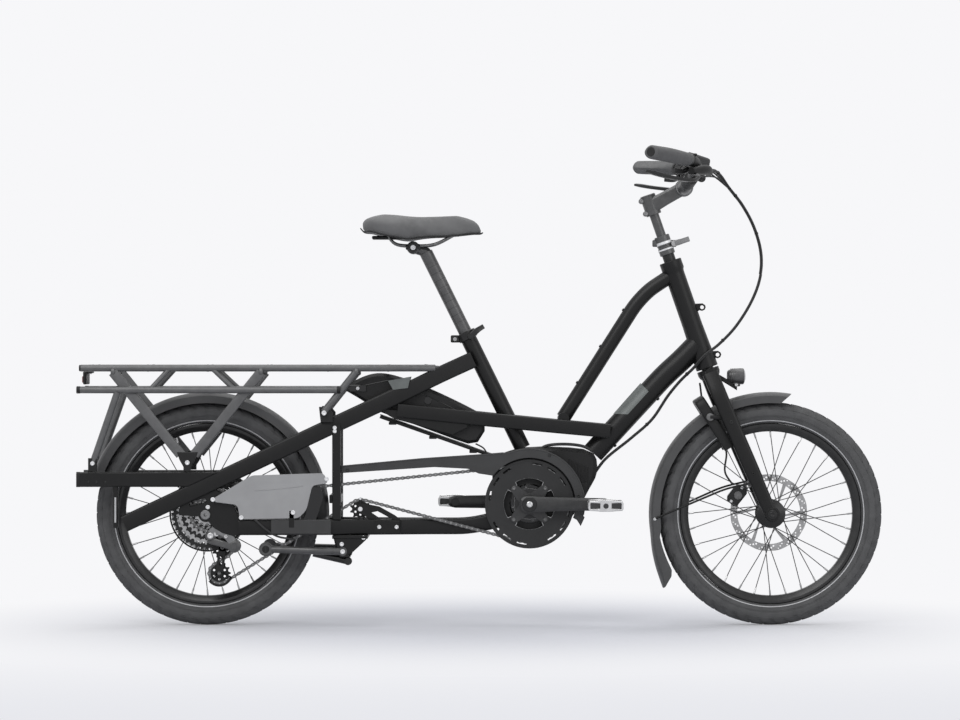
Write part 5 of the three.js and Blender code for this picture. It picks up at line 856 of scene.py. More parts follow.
def rear_tubes():
    form = Form()
    right_tube(form, STAY_ROUTE, slab(7.5, 19, 4.5), 44)
    form.plate([[(-212, 566), (-160, 575), (-166, 549), (-200, 545)]], -69.2, -68, 0.3, 1)
    form.mirror()
    for place, half in (((-363, 451.3), 70), ((-92, 580), 45)):
        form.tube([xyz(place, -half), xyz(place, half)], 7, 0, 20)
    form.made("upper_stays_formed", [black, badge], "frame", ["upper_stays"], "frame_paint")

    form = Form()
    route = [(52, 33, 246), (-25, 33, 229), (-127, 36, 229), (-207, 51, 229), (-354, 74.5, 229), (-555, 81.5, 229)]
    right_tube(form, route, slab(9, 18, 5), 30)
    pod = arc(REAR_AXLE, 62, math.pi * 0.98, math.pi * 0.34, 14)
    outline = [*pod, (-575, 300), (-551, 247), (-551, 211), (-566, 209), (-591, 215), (-612, 228), (-624, 242),
               (-648, 254), (-692, 257)]
    slot_hole = (arc((-664, 283), 5, math.pi / 2, math.pi * 1.5, 6)
                 + arc((-634, 291), 5, -math.pi / 2, math.pi / 2, 6))
    form.plate([outline, slot_hole, circle(REAR_AXLE, 8)], -84, -74.4, 1.4)
    form.bolt(xyz((-625.5, 275.5), -84.4), 5, 2, 1)
    form.spin([(4, -90), (9.4, -90), (11, -88.6), (11, -84), (4, -84)], xyz(REAR_AXLE), sides=36, kind=2)
    form.mirror()
    form.block((-34.4, -33, 217), (-2, 33, 241), 2)
    form.made("chainstays_dropouts", [black, bright, clamp_grey], "frame", ["chainstays"], "frame_paint")

    form = Form()
    outer = CHAIN_Y - 4.2
    arm = [(-188, 214), (-181, 222), (-181, 244), (-196, 256), (-232, 276), (-262, 282), (-272, 283), (-281, 281),
           (-287, 274), (-286, 266), (-278, 260), (-262, 252), (-246, 238), (-243, 214)]
    windows = [[(-201, 246), (-236, 265), (-250, 262), (-228, 247)]]
    form.plate([arm] + windows, outer - 3.6, outer, 0.8)
    form.block((-246, outer - 12, 214), (-184, outer - 3.4, 244), 2)
    for x in (-232, -192):
        form.bolt(xyz((x, 229), outer - 12), 4.6, 2, 1)
    form.disc(IDLER, 5.4, outer - 6, CHAIN_Y + 6, 1)
    form.disc((IDLER[0], IDLER[1] + 24), 3, outer - 5, outer + 9, 1)
    form.block((IDLER[0] - 3, outer - 3, IDLER[1] + 4), (IDLER[0] + 3, outer, IDLER[1] + 26), 0.8)
    form.made("idler_bracket", [black, bright], "frame", slot="frame_paint")

    form = Form()
    form.sweep([xyz((POST_X, 247), -70), xyz((POST_X, 465), -70)], slab(11, 10, 3.4))
    for z in (458, 450):
        form.bolt(xyz((POST_X - 4, z), -81), 4.6, 1.6, 1)
    form.mirror()
    form.block((-347, -70, 284), (-320, 70, 303), 2)
    back, plate_z = -340, (202, 210.5)
    form.block((back, -80, plate_z[0]), (-258, 80, plate_z[1]), 1.6)
    ear = [(back, plate_z[1]), (-282.4, plate_z[1]), (-299, 159), (-328, 159)]
    for sign in (-1, 1):
        low, high = between(sign, 36, 44)
        form.plate([ear, circle(STAND_PIVOT, 8.4, 24)], low, high, 0.8)
        form.block((back, low, plate_z[0]), (-320, high, 300), 1.6)
    web = [(-336, 209), (-262, 209), (-262, 200), (-292, 172), (-303, 166), (-300, 160), (-322, 160)]
    form.plate([web], -78, -74.5, 0.8)
    for place in ((-318, 190), (-268, 205)):
        form.bolt(xyz(place, -78), 5, 2, 1)
    form.made("support_posts_plate", [black, bright], "frame", ["support_posts"], "frame_paint")

    form = Form()
    form.plate([[(-925, 322), (-670, 322), (-598, 356), (-925, 356)]], -94, -74, 3)
    form.sweep([xyz((-927, TAIL_Z), -84), xyz((-919, TAIL_Z), -84)], slab(10.6, 17.4, 4.4), 1)
    for px, r in ((-899, 3.4), (-880.6, 4.2), (-860, 3.4)):
        form.disc((px, 333.5), r, -94.8, -93.2, 1)
        form.disc((px, 333.5), r * 0.55, -95.2, -94.6, 2)
    form.block((-843, -90.5, 227.5), (-831.6, -77.5, 327), 2, 0)
    form.block((-839.4, -91.4, 240), (-835.4, -90, 298), 0.5, 3)
    form.mirror()
    form.across((-918.6, TAIL_Z), 84, 7, 0, 20)
    form.made("tail_tubes_formed", [black, plastic, gloss, band], "frame", ["tail_tubes"], "frame_paint")


def carrier():
    deck = Form()
    back, wide, length = -917, 86, 767
    rail = [(back, wide), (-236, wide), (-150, 67.8), (-106, 48)]
    deck.tube(bent([(x, -y, DECK_Z) for x, y in rail], 40), 8, 0, 24)
    deck.spin([(0, -4), (6.8, -4), (7.4, -2), (7.4, 3), (0, 3)], (back, -wide, DECK_Z), (1, 0, 0), 20, 1)
    deck.plate([[(-128, 604), (-96, 600), (-92, 590), (-112, 586), (-128, 588)]], -50, -45, 1)
    deck.mirror()
    for share in (0.035, 0.2, 0.38, 0.56, 0.74, 0.92):
        x, reach = back + length * share, wide if share < 0.9 else wide - 7
        deck.tube([(x, -reach, DECK_Z), (x, reach, DECK_Z)], 7, 0, 20)
        for sign in (-1, 1):
            weld(deck, (x, DECK_Z), sign * (reach - 9), 7)
    deck.made("carrier_deck", [graphite, plastic], "frame", ["rack_deck"], "carrier_paint")

    for side, flip in (("right", False), ("left", True)):
        form = Form()
        ends = [(x, -LOW_RAIL_Y, LOW_RAIL_Z) for x in (-926, -320)]
        form.tube(ends, 8, 0, 24)
        for end, sign in zip(ends, (-1, 1)):
            form.spin([(0, 0), (7.8, 0), (8.4, 1), (8.4, 8), (7.6, 9), (0, 9)], end, (-sign, 0, 0), 20, 1)
        for foot, top_place in (((-688, 396), (-843, 586)), ((-656, 396), (-503, 586))):
            form.sweep([xyz(foot, -84), xyz(top_place, -88.4)], slab(6, 11.5, 3.4))
        lug = [(-696, 402), (-648, 402), (-656, 380), (-664, 368), (-664, 357), (-681, 357), (-681, 368), (-690, 384)]
        form.plate([lug], -92.5, -82, 1.2, 1)
        form.bolt(xyz((-672, 378), -92.5), 5.4, 2, 2)
        form.tube([(-891, -84, 372), (-832, -95, 540)], 8, 0, 24)
        form.plate([[(-900, 388), (-880, 388), (-881, 357), (-900, 357)]], -92, -78, 1.2, 1)
        form.bolt(xyz((-890, 376), -92), 5, 2, 2)
        form.tube([(-359, -87, 494), (-284, -88.4, 588)], 8, 0, 24)
        form.plate([[(-370, 506), (-350, 506), (-338, 492), (-338, 470), (-366, 470)]], -88, -78, 1.2, 1)
        form.bolt(xyz((-358, 492), -95), 5.6, 2, 2)
        for top_x, foot_x in ((-712, -758), (-616, -563)):
            form.tube([(top_x, -86, DECK_Z), (foot_x, -LOW_RAIL_Y, LOW_RAIL_Z)], 5.6, 0, 20)
            saddle = [(foot_x - 12, 552), (foot_x + 12, 552), (foot_x + 9, 540), (foot_x - 9, 540)]
            form.plate([saddle], -97, -90, 0.8)
        for x, z in ((-843, 587), (-503, 587), (-832, LOW_RAIL_Z), (-284, 587)):
            form.spin([(7.4, -5), (9.4, -3), (9.4, 3), (7.4, 5)], (x, -88, z), (1, 0, 0), 20)
        form.made(f"carrier_side_{side}", [graphite, plastic, bright], "frame", [f"rack_side_{side}"],
                  "carrier_paint", flip=flip)

    lamp = Form()
    lamp.block((-917, -40, 557), (-909, 40, 587), 2.4)
    lamp.block((-919.4, -34, 561), (-916, 34, 576), 1.2, 1)
    for y in np.linspace(-30, 30, 9):
        lamp.block((-919.8, y - 0.5, 562), (-919, y + 0.5, 575), 0.1, 1)
    lamp.block((-916, -20, 583), (-897, 20, 589), 1.4)
    for sign in (-1, 1):
        lamp.bolt((-905, sign * 14, 583), 3.4, 2, 2, axis=(0, 0, -1))
    lamp.made("tail_lamp", [plastic, red, bright], "frame", ["tail_light"], "black_plastic")


def power_unit():
    corner, size = (-309, 402), (320, 182)
    upper = [(0, 0.77), (0.03, 0.86), (0.12, 0.95), (0.22, 0.995), (0.34, 0.97), (0.6, 0.8), (0.93, 0.52), (1, 0.44)]
    lower = [(1, 0.26), (0.95, 0.12), (0.88, 0.1), (0.8, 0.145), (0.25, 0.5), (0.08, 0.69)]
    edge = [tuple(p) for p in spline(inside(corner, size, upper), 4)] + inside(corner, size, lower)
    form = Form().plate([edge], -44, 44, 7)
    seam = inside(corner, size, ((0.02, 0.8), (0.3, 0.9), (0.62, 0.68), (0.98, 0.36)))
    for a, b in zip(seam, seam[1:]):
        form.tube([xyz(a, -43.6), xyz(b, -43.6)], 1.2, 1, 8)
    form.block((-302, -46, 540), (-262, -43, 556), 1.2, 1)
    form.bolt(xyz((-282, 548), -46), 4, 1.6, 2)
    form.disc((-120, 520), 9, -45.6, -43, 1)
    form.made("battery_case", [plastic, gloss, bright], "frame", ["battery"], "black_plastic")

    form = Form()
    a, b = xyz((-231, 483)), xyz((60, 381))
    form.sweep([a, b], slab(36, 4, 1.4))
    form.sweep([a + vec(0, 0, 4.4), a + (b - a) * 0.72 + vec(0, 0, 4.4)], slab(30, 0.5, 0.2), 1)
    for share in (0.1, 0.42, 0.74):
        place = a + (b - a) * share
        form.bolt(place + vec(0, -20, -4), 5, 3, 2, axis=(-0.3, 0, -0.94))
        form.block(place + vec(-9, -38, -9), place + vec(9, 38, -2), 1.5)
    form.made("battery_rail", [black, steel, bright], "frame", ["battery_cradle"], "hub_steel")

    rows = [(0.03, 0.2), (0.14, 0.05), (0.36, 0), (0.6, 0.06), (0.8, 0.3), (0.93, 0.55), (1, 0.72), (0.97, 0.93),
            (0.6, 1), (0.2, 0.97), (0.02, 0.86), (0, 0.5)]
    corner, size = (30, 200), (240, 212)
    loop = inside(corner, size, rows)
    form = Form().plate([[tuple(p) for p in spline(loop + loop[:1], 3)[:-1]]], -38, 38, 9)
    form.disc(BB, 46, -41, 41, 1, bevel=3)
    form.disc(BB, 30, -44, 44, 0, bevel=2)
    for i in range(8):
        p = polar(BB, 39, TURN * i / 8 + 0.2)
        form.bolt(xyz(p, -41), 3, 1.2, 2)
        form.bolt(xyz(p, 41), 3, 1.2, 2, axis=(0, 1, 0))
    for i in range(7):
        form.block((205 + i * 7, -39.6, 330), (208.4 + i * 7, -37, 385 - i * 3), 1, 0)
    form.made("motor_case", [plastic, gloss, dark_steel], "frame", ["motor"], "black_plastic")
    cord("motor_cable", ((136, -26, 403), (150, -28, 414), (190, -26, 419), (238, -22, 414), (262, -18, 402)), 3.6,
         sides=12)
    cord("battery_cable", ((-10, -30, 420), (8, -34, 410), (18, -34, 396), (34, -30, 384), (52, -26, 376)), 1.8)


main_tubes()
rear_tubes()
carrier()
power_unit()


# Fork, mudguards, lamp and brakes
def fork():
    form = Form()
    spread = [48, 64, 65.3, 64.3]
    route = [CROWN, mix(LEG_TOP, LEG_END, 0.12), mix(LEG_TOP, LEG_END, 0.7), LEG_END]
    line = bent([xyz(p, -y) for p, y in zip(route, spread)], 30)
    form.sweep(line, slab(9, 18, 7), 0, scales=along_line(line, [0, 0.2, 0.85, 1], [1, 1, 0.95, 0.85]))
    form.disc(FRONT_AXLE, 17.5, -73, -55.4, 0, bevel=3)
    form.disc(FRONT_AXLE, 11, -76, -72, 1, bevel=1.4)
    form.bolt(xyz(FRONT_AXLE, -76), 7.4, 2.4, 1)
    form.bolt(xyz(mix(LEG_TOP, LEG_END, 0.33), -73), 4.6, 2, 1)
    form.bolt(xyz(mix(LEG_TOP, LEG_END, 0.72), -74), 3.6, 2, 1)
    form.mirror()
    form.across(CROWN, 54, 11.4, 0, 28)
    foot = xyz(head(1.012))
    form.spin([(0, 0), (25, 0), (26, 1), (26, 10), (24, 16), (19, 23), (0, 24)], foot, HEAD_AXIS, 40)
    form.tube([xyz(head(1.05)), xyz(head(-0.1))], 14.3, 1, 32)
    arm = [(531, 583.4), (595.8, 543.4), (595.8, 556), (549, 583)]
    form.plate([arm], -9, 9, 1.4)
    form.made("fork_blades", [black, anodised], "fork", ["fork"], "frame_paint")


# The front mudguard ends in a flap: how far its edge and its crown stand out, by angle
FLAP_TURN = (0, 188, 191, 201.6, 209, 211, 212.4, 214, 215.1)
FLAP_LOW = (0, 0, 6.7, 6.7, 7.2, 10, 17.6, 34, 46)
FLAP_HIGH = (0, 0, 1, 8.9, 15, 17.2, 18.7, 20.6, 22)
# Its other end is slanted: how far its edge runs ahead of its crown there, and over what angle, in radians
TIP_SLANT, TIP_REACH = math.radians(5), 0.2


def mudguard_strip(name, axle, start, end, body, replaced, front=False):
    w, inner, outer, t = FENDER_HALF, FENDER_INNER, FENDER_OUTER, 2.4
    skirt = TYRE_RADIUS - 2
    crown = [(skirt, w), (inner + 1, w + 0.1), (inner + 4.4, w - 3), (outer - 2.4, w * 0.66),
             (outer - 0.6, w * 0.36), (outer, 0)]
    hollow = [(outer - t, 0), (outer - t - 0.6, w * 0.34), (outer - t - 2.4, w * 0.62), (inner + 3, w - 4.6),
              (inner, w - t), (skirt, w - t)]
    profile = doubled(crown) + [(r, -y) for r, y in reversed(hollow)] + hollow[1:]
    steps = max(12, int(abs(end - start) / 2.5))
    rings = []
    for i in range(steps + 1):
        a = math.radians(start + (end - start) * i / steps)
        low = high = slant = 0
        if front:
            low, high = (np.interp(math.degrees(a), FLAP_TURN, lift) for lift in (FLAP_LOW, FLAP_HIGH))
            slant = TIP_SLANT * max(0, 1 - abs(a - math.radians(start)) / TIP_REACH)
        row = []
        for r, y in profile:
            out = (r - skirt) / (outer - skirt)
            x, z = polar(axle, r + low + (high - low) * out, a + slant * (1 - out))
            row.append((x, y, z))
        rings.append(row)
    form = Form().skin(rings)
    if front:
        fender_wires(form)
    form.made(name, [mudguard, black, bright], body, [replaced], "fender_plastic")


def fender_wires(form):
    x, z = mix(LEG_TOP, LEG_END, 0.79)
    for sign in (-1, 1):
        wire = bent([xyz((x - 10, z), sign * 69), xyz((x - 72, z - 14), sign * 64), xyz((402, 246), sign * 34)], 24)
        form.tube(wire, 2.4, 1, 12)
        form.bolt(xyz((404, 246), sign * 35.4), 3.4, 1.6, 2, axis=(0, sign, 0))


mudguard_strip("mudguard_rear", REAR_AXLE, -3, 165, "frame", "rear_fender")
mudguard_strip("mudguard_front", FRONT_AXLE, 80, 214.6, "fork", "front_fender", front=True)
fork()


def head_lamp():
    centre = vec(594, 0, 575.8)
    form = Form()
    form.spin([(0, -21), (11, -21), (14.5, -18), (17.6, -10), (18.2, -2), (18.8, 10), (18.6, 16), (17, 18),
               (16, 16.4), (0, 15.4)], centre, (1, 0, 0), 48)
    form.spin([(0, 15), (16.2, 15), (15.6, 18.6), (9, 21.2), (0, 21.9)], centre, (1, 0, 0), 48, 1)
    for x in (-12, -8, -4):
        form.spin([(16.6, x - 0.8), (18.7, x - 0.6), (18.7, x + 0.6), (16.6, x + 0.8)], centre, (1, 0, 0), 40)
    form.block((585, -9, 552.4), (603, 9, 562), 2)
    form.bolt((594, -9, 556), 3.6, 1.6, 2)
    form.made("head_lamp", [post_grey, glass, bright], "fork", ["headlight"], "black_plastic")


def wheel_lock():
    a = math.radians(122.4)
    out, along = vec(math.cos(a), 0, math.sin(a)), vec(-math.sin(a), 0, math.cos(a))
    outer = [(180, -51), (300, -51), (310, -46), (316, -30), (317, 0), (316, 30), (310, 46), (300, 51), (180, 51)]
    inner = [(180, 36), (276, 36), (282.6, 24), (283.4, 0), (282.6, -24), (276, -36), (180, -36)]
    loop = flat_bent(outer + inner, 7, 3)
    rings = []
    for depth, inset in ((-12.8, 3), (-10.6, 0.8), (-8, 0), (8, 0), (10.6, 0.8), (12.8, 3)):
        row = []
        for r, y in loop:
            shift = inset if abs(y) > 43 or r > 292 else -inset
            far = r - shift * 0.7 if r > 270 else r
            wide = y - math.copysign(shift, y) if abs(y) > 30 else y
            row.append(xyz(FRONT_AXLE) + out * far + vec(0, wide, 0) + along * depth)
        rings.append(row)
    form = Form().skin(rings)
    for sign in (-1, 1):
        form.tube([xyz((531, 482), sign * 51), xyz((572, 482), sign * 52)], 6.4, 0, 18)
    form.disc((531, 482), 9, -56, -50, 1)
    form.made("ring_lock", [plastic, dark_steel], "fork", ["wheel_lock"], "black_plastic")


def caliper(name, place, body, replaced, low, high, tilt):
    """A brake body in two halves with round piston caps."""
    form = Form()
    c, s = math.cos(tilt), math.sin(tilt)

    def turned(*points):
        return [(place[0] + x * c - z * s, place[1] + x * s + z * c) for x, z in points]

    edge = turned((-26, -10), (-20, -16), (16, -16), (26, -9), (27, 4), (20, 14), (6, 16.4), (-16, 16), (-25, 10))
    mid = (low + high) / 2
    form.plate([edge], low, mid - 1.8, 2)
    form.plate([edge], mid + 1.8, high, 2)
    form.plate([turned((-25, 6), (-16, 15), (16, 15), (22, 9), (14, 8), (-14, 8))], mid - 2, mid + 2, 0.3)
    cap, *bolts = turned((0, -2), (-20, 2), (20, 2))
    for y, sign in ((low, -1), (high, 1)):
        form.disc(cap, 10, *sorted((y, y + sign * 2.4)), 1, bevel=1)
        for bolt in bolts:
            form.bolt(xyz(bolt, y), 3.6, 1.6, 2, axis=(0, sign, 0))
    form.made(name, [anodised, dark_steel, bright], body, [replaced], "black_plastic")


head_lamp()
wheel_lock()
caliper("brake_body_front", (599, 299.4), "fork", "front_caliper", low=32.6, high=54.6, tilt=0.9)
caliper("brake_body_rear", (-566, 321), "frame", "rear_caliper", low=48.6, high=71.4, tilt=-0.7)
cord("front_brake_hose", ((512, 40, 560), (522, 52, 505), (556, 58, 440), (575, 60, 400), (572, 58, 352),
                          (590, 50, 322)), 2.3, "fork", sides=12)


# Cockpit
def bar_line():
    rows = [(0, 0, 0), (0.13, 0, 0), (0.32, -0.22, 0.5), (0.53, -0.13, 0.78), (0.78, 0.4, 0.92), (1, 1, 1)]
    return spline([(473 - 86 * back, 340 * across, 1013 + 64 * up) for across, back, up in rows], 7)


BAR, BAR_CLAMP = np.array(bar_line()), (473, 1013)
# Places on the head tube's line, as shares of its length down from its top
MAST_TOP, STEM_LOW, CLAMP_TOP, CLAMP_END, CLAMP_BOLT = -0.617, -0.432, -0.235, -0.06, -0.165


def bar_at(y):
    return np.array([np.interp(y, BAR[:, 1], BAR[:, k]) for k in (0, 1, 2)])


def bar_between(a, b, steps):
    return [bar_at(y) for y in np.linspace(a, b, steps)]


def mast():
    form = Form()
    top = xyz(head(CLAMP_TOP))
    span = math.dist(head(CLAMP_TOP), head(CLAMP_END))
    form.spin([(11.5, 0), (16.6, 0), (18, 1.4), (18, span * 0.52), (17, span * 0.54), (17, span * 0.6),
               (18, span * 0.62), (18, span - 1.4), (16.6, span), (11.5, span)], top, HEAD_AXIS, 40)
    x, z = head(CLAMP_BOLT)
    form.block((x - 27, -8, z - 8), (x + 28.8, 8, z + 8), 2.4)
    form.bolt(xyz((x - 22, z), 8), 5, 2, 1, axis=(0, 1, 0))
    form.across((x + 22, z), 9, 4, 1, 16)
    for low, high in ((span * 0.3, span * 0.46), (span * 0.66, span * 0.76)):
        form.spin([(17.6, low), (19.2, low + 1), (19.2, high - 1), (17.6, high)], top, HEAD_AXIS, 40, 2)
    form.made("mast_collar", [post_grey, steel, bright], "fork", ["mast_clamp"], "frame_paint")

    form = Form().tube([xyz(head(0.55)), xyz(head(MAST_TOP))], 11.1, 0, 36)
    form.made("mast_tube", [post_grey], "mast", ["bar_post"], "frame_paint")

    root = (x + 23.4, z)
    form = Form()
    line = bent([xyz(root, -11.8), xyz((x + 37, z + 3.5), -13.6), xyz((x + 57.4, z + 10.5), -8.3)], 12)
    form.sweep(line, slab(3.5, 7, 2.4), 0, scales=np.linspace(1, 0.86, len(line)))
    form.disc(root, 7.4, -15.4, -8.4, 1)
    form.made("mast_quick_lever", [clamp_grey, steel], "mast_lever", ["post_lever"], "hub_steel")


def stem_and_bar():
    form = Form()
    span = math.dist(head(STEM_LOW), head(MAST_TOP))
    form.spin([(11.4, 0), (16.8, 0), (18, 1.2), (18, span - 1.6), (16.4, span), (13, span), (12, span - 1),
               (0, span - 1)], xyz(head(STEM_LOW)), -HEAD_AXIS, 40)
    reach = [xyz(mix((396, 970), BAR_CLAMP, share)) for share in (0, 0.12, 0.4, 0.75, 1)]
    form.sweep(reach, slab(17, 17.6, 7, 4), 0, scales=[0.98, 1, 0.92, 0.9, 0.92])
    form.disc(BAR_CLAMP, 20.6, -23.4, 23.4, 0, bevel=3)
    for sign in (-1, 1):
        form.disc(BAR_CLAMP, 19.4, *between(sign, 22, 26), 1, bevel=1.4, bore=16)
    for share in (0.75, 0.94):
        x, z = head(MAST_TOP * share)
        place = (x - 17, z - 5.4)
        form.across(place, 12.4, 6.2, 0, 20)
        form.bolt(xyz(place, -12.4), 4.6, 1.2, 1)
    for y in (-8, 8):
        form.bolt((492, y, 1022), 3.6, 2.4, 1, axis=(0.88, 0, 0.48))
    form.made("stem_forged", [post_grey, clamp_grey], "mast", ["stem"], "frame_paint")

    line = [p * MIRROR for p in reversed(BAR[1:])] + list(BAR)
    sizes = np.interp([abs(p[1]) for p in line], [0, 44, 74, 340], [15.9, 15.9, 11.1, 11.1])
    form = Form().sweep(line, ring(1, 24), 0, scales=sizes, side=(0, 0, 1))
    form.made("handlebar_tube", [post_grey], "mast", ["handlebar"], "frame_paint")


def grip(side, flip):
    """A grip whose back widens into a wing for the palm."""
    form = Form()
    run = bar_between(214.5, 339.7, 14)
    last = unit(run[-1] - run[-2])
    run.append(run[-1] + last * 8)
    run.append(run[-1] + last * 3)
    rings = []
    for i, p in enumerate(run):
        share = i / (len(run) - 1)
        wing = 17 * max(0.0, math.sin(min(1, share * 1.08) * math.pi * 0.92 + 0.1)) ** 1.4 * (0.5 + share)
        body = 16.4 + 1.2 * math.sin(share * math.pi) - (3 if i == len(run) - 1 else 0)
        along = direction(run, i)
        back = unit(vec(-1, 0, 0) + along * along[0])
        rise = np.cross(along, back)
        row = []
        for b, u in [polar((0, 0), 1, TURN * k / 28) for k in range(28)]:
            wide = body + wing * max(b, 0) ** 3
            thick = body * (0.94 - 0.4 * max(b - 0.2, 0) * min(1, wing / 12))
            row.append(p + back * b * wide + rise * u * thick)
        rings.append(row)
    form.skin(rings)
    form.tube(bar_between(209, 216, 3), 16.2, 1, 28, side=(0, 0, 1))
    form.spin([(0, 0), (10.5, 0), (10.5, 2), (0, 2.4)], run[-1] - last * 1.4, last, 24, 1)
    form.made(f"palm_grip_{side}", [grip_grey, anodised], "mast", [f"grip_{side}"], "grip_rubber", flip=flip)


def control(side, flip):
    """The brake and shift body, and its lever."""
    form = Form()
    form.tube(bar_between(152, 168, 4), 15, 0, 28, side=(0, 0, 1))
    form.tube(bar_between(172, 206, 5), 15.6, 0, 28, side=(0, 0, 1))
    start, end = bar_at(150), bar_at(207)
    tank = spline([start + vec(32, -16, -16), start + vec(26, 16, -10), end + vec(6, 8, -25)], 7)
    form.sweep(tank, ring(10.4, 24), 0, side=(1, 0, 0), scales=along_line(tank, [0, 0.1, 0.7, 1], [0.8, 1, 1.05, 0.8]))
    form.spin([(0, -2), (5.4, -2), (5.4, 4), (4.4, 9), (0, 9)], tank[0], unit(tank[0] - tank[1]), 20, 1)
    form.block(bar_at(160) + vec(-16, -11, -22), bar_at(160) + vec(8, 11, -10), 3)
    paddle = [bar_at(188) + vec(-8, 0, -16), bar_at(196) + vec(-18, 0, -24), bar_at(206) + vec(-34, 4, -24)]
    form.sweep(spline(paddle, 5), slab(4, 6, 2), 1)
    form.block(bar_at(190) + vec(-14, -9, 12), bar_at(190) + vec(12, 9, 18), 2)
    form.made(f"brake_master_{side}", [plastic, anodised], "mast", [f"control_{side}"], "black_plastic", flip=flip)

    reach, rise = 116, 41.6
    rows = [(-0.2, 0, -0.95), (-0.08, 0.2, -1.15), (0.4, 0.6, -1.02), (0.82, 1, -0.78)]
    line = spline([bar_at(215) + vec(-reach * back, reach * across, rise * up) for back, across, up in rows], 7)
    form = Form().sweep(line, slab(6.4, 3.8, 2.2), 0, side=(1, 0, 0),
                        scales=along_line(line, [0, 0.5, 0.92, 1], [1.1, 1, 0.95, 0.7]))
    x, y, z = line[0]
    form.disc((x, z), 7, y - 6, y + 6, 1)
    form.made(f"brake_blade_{side}", [anodised, dark_steel], f"brake_{side}", [f"brake_lever_{side}"], "hub_steel",
              flip=flip)


def display():
    corner, size = (480, 1050), (49, 41)
    edge = inside(corner, size, ((0, 1), (1, 0.6), (0.92, 0.05), (0.22, 0.25)))
    form = Form().plate([flat_bent(edge, 6, 3)], -102, -42, 3.4)
    a, b = xyz(edge[0]), xyz(edge[1])
    # The screen face on top takes the light grey material: a painted highlight on the display's lit top
    face = unit((0.4, 0, 1.2))
    rings = []
    for y, rise in ((-96, 0.1), (-94, 0.7), (-50, 0.7), (-48, 0.1)):
        rings.append([a + (b - a) * share + face * d + vec(0, y, 0)
                      for share, d in ((0.14, -0.6), (0.14, rise), (0.86, rise), (0.86, -0.6))])
    form.skin(rings, 1)
    form.tube([bar_at(72) * MIRROR, vec(504, -72, 1066)], 10, 0, 24)
    form.sweep([bar_at(y) * MIRROR for y in (62, 72, 82)], ring(16.4, 28), 0, side=(0, 0, 1))
    form.made("display_unit", [cover, screen_highlight], "mast", ["display"], "black_plastic")


mast()
stem_and_bar()
for side, flip in (("left", False), ("right", True)):
    grip(side, flip)
    control(side, flip)
display()


# Saddle, post and clamp
def baked(piece, kind, **settings):
    """Adds a modifier, puts its result into the mesh and takes the modifier off again."""
    step = piece.modifiers.new(kind.lower(), kind)
    for key, value in settings.items():
        setattr(step, key, value)
    result = bpy.data.meshes.new_from_object(evaluated(piece))
    piece.modifiers.clear()
    piece.data = result
    piece.data.materials.clear()
    piece.data.materials.append(cloth)
    piece.data.shade_smooth()


def puffed(piece):
    """Fills the cushion with a little pressure. The crown may swell, the edge hardly moves."""
    baked(piece, "REMESH", mode="VOXEL", voxel_size=0.0045)
    before = places(piece.data)
    settings = piece.modifiers.new("swell", "CLOTH").settings
    settings.quality, settings.mass = 6, 0.3
    settings.use_pressure, settings.uniform_pressure_force = True, 4
    settings.effector_weights.gravity = 0
    scene = bpy.context.scene
    for i in range(1, 21):
        scene.frame_set(i)
    move = places(evaluated(piece).data) - before
    scene.frame_set(1)
    piece.modifiers.clear()
    height = (before[:, 2] - before[:, 2].min()) / np.ptp(before[:, 2])
    cap = 0.001 + 0.005 * np.clip((height - 0.35) / 0.3, 0, 1)
    far = np.maximum(np.linalg.norm(move, axis=1), 1e-9)
    after = before + move * np.minimum(1, cap / far)[:, None]
    piece.data.vertices.foreach_set("co", after.ravel())
    piece.data.update()


# The saddle's box: its back end, length, half width, underside and height
SADDLE_BACK, SADDLE_LONG, SADDLE_WIDE, SADDLE_LOW, SADDLE_HIGH = -276, 282, 88, 888, 58
# Shares of it along, across, and up to the top and to the lower edge
SADDLE_ROWS = [(0, 0.34, 0.66, 0.5), (0.03, 0.6, 0.88, 0.34), (0.1, 0.86, 0.98, 0.3), (0.18, 0.98, 1, 0.18),
               (0.28, 1, 0.98, 0.08), (0.38, 0.88, 0.93, 0), (0.48, 0.66, 0.9, 0.07), (0.58, 0.47, 0.91, 0.12),
               (0.7, 0.35, 0.93, 0.14), (0.82, 0.3, 0.94, 0.2), (0.92, 0.26, 0.88, 0.26), (0.98, 0.2, 0.7, 0.28),
               (1, 0.12, 0.5, 0.34)]
SADDLE_TOP, SADDLE_EDGE = (spline([(r[0], r[1], r[k]) for r in SADDLE_ROWS], 4) for k in (2, 3))


def saddle_place(along, across, up, inset=0.0):
    """A place on the saddle, and with an inset the same place on a slightly smaller one."""
    return (SADDLE_BACK + inset + (SADDLE_LONG - inset * 2) * along, (SADDLE_WIDE - inset * 1.4) * across,
            SADDLE_LOW + inset * 0.8 + (SADDLE_HIGH - inset * 1.4) * up)


def saddle_pad():
    half = [(0, 1), (0.2, 0.99), (0.4, 0.95), (0.58, 0.87), (0.74, 0.74), (0.88, 0.52), (0.97, 0.24), (1, 0),
            (0.98, -0.4), (0.93, -0.8), (0.86, -1), (0.78, -0.9), (0.45, -0.64), (0, -0.58)]
    full = half + [(-a, b) for a, b in reversed(half[1:-1])]
    rings = []
    for (along, wide, top), (_, _, under) in zip(SADDLE_TOP, SADDLE_EDGE):
        edge = under + (top - under) * 0.52
        groove = 0.05 * math.exp(-((along - 0.42) / 0.3) ** 4)
        row = []
        for a, b in full:
            up = edge + (top - edge) * b if b > 0 else edge + (edge - under) * b
            if b > 0.9:
                up -= groove * math.exp(-(a / 0.16) ** 2)
            row.append(saddle_place(along, max(wide, 0.02) * a, up, 1))
        rings.append(row)
    piece = Form().skin(rings).made("saddle_pad", cloth, None)
    puffed(piece)
    baked(piece, "SUBSURF", levels=1 if len(piece.data.vertices) > 2500 else 2)
    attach(piece, "seat")
    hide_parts("saddle")


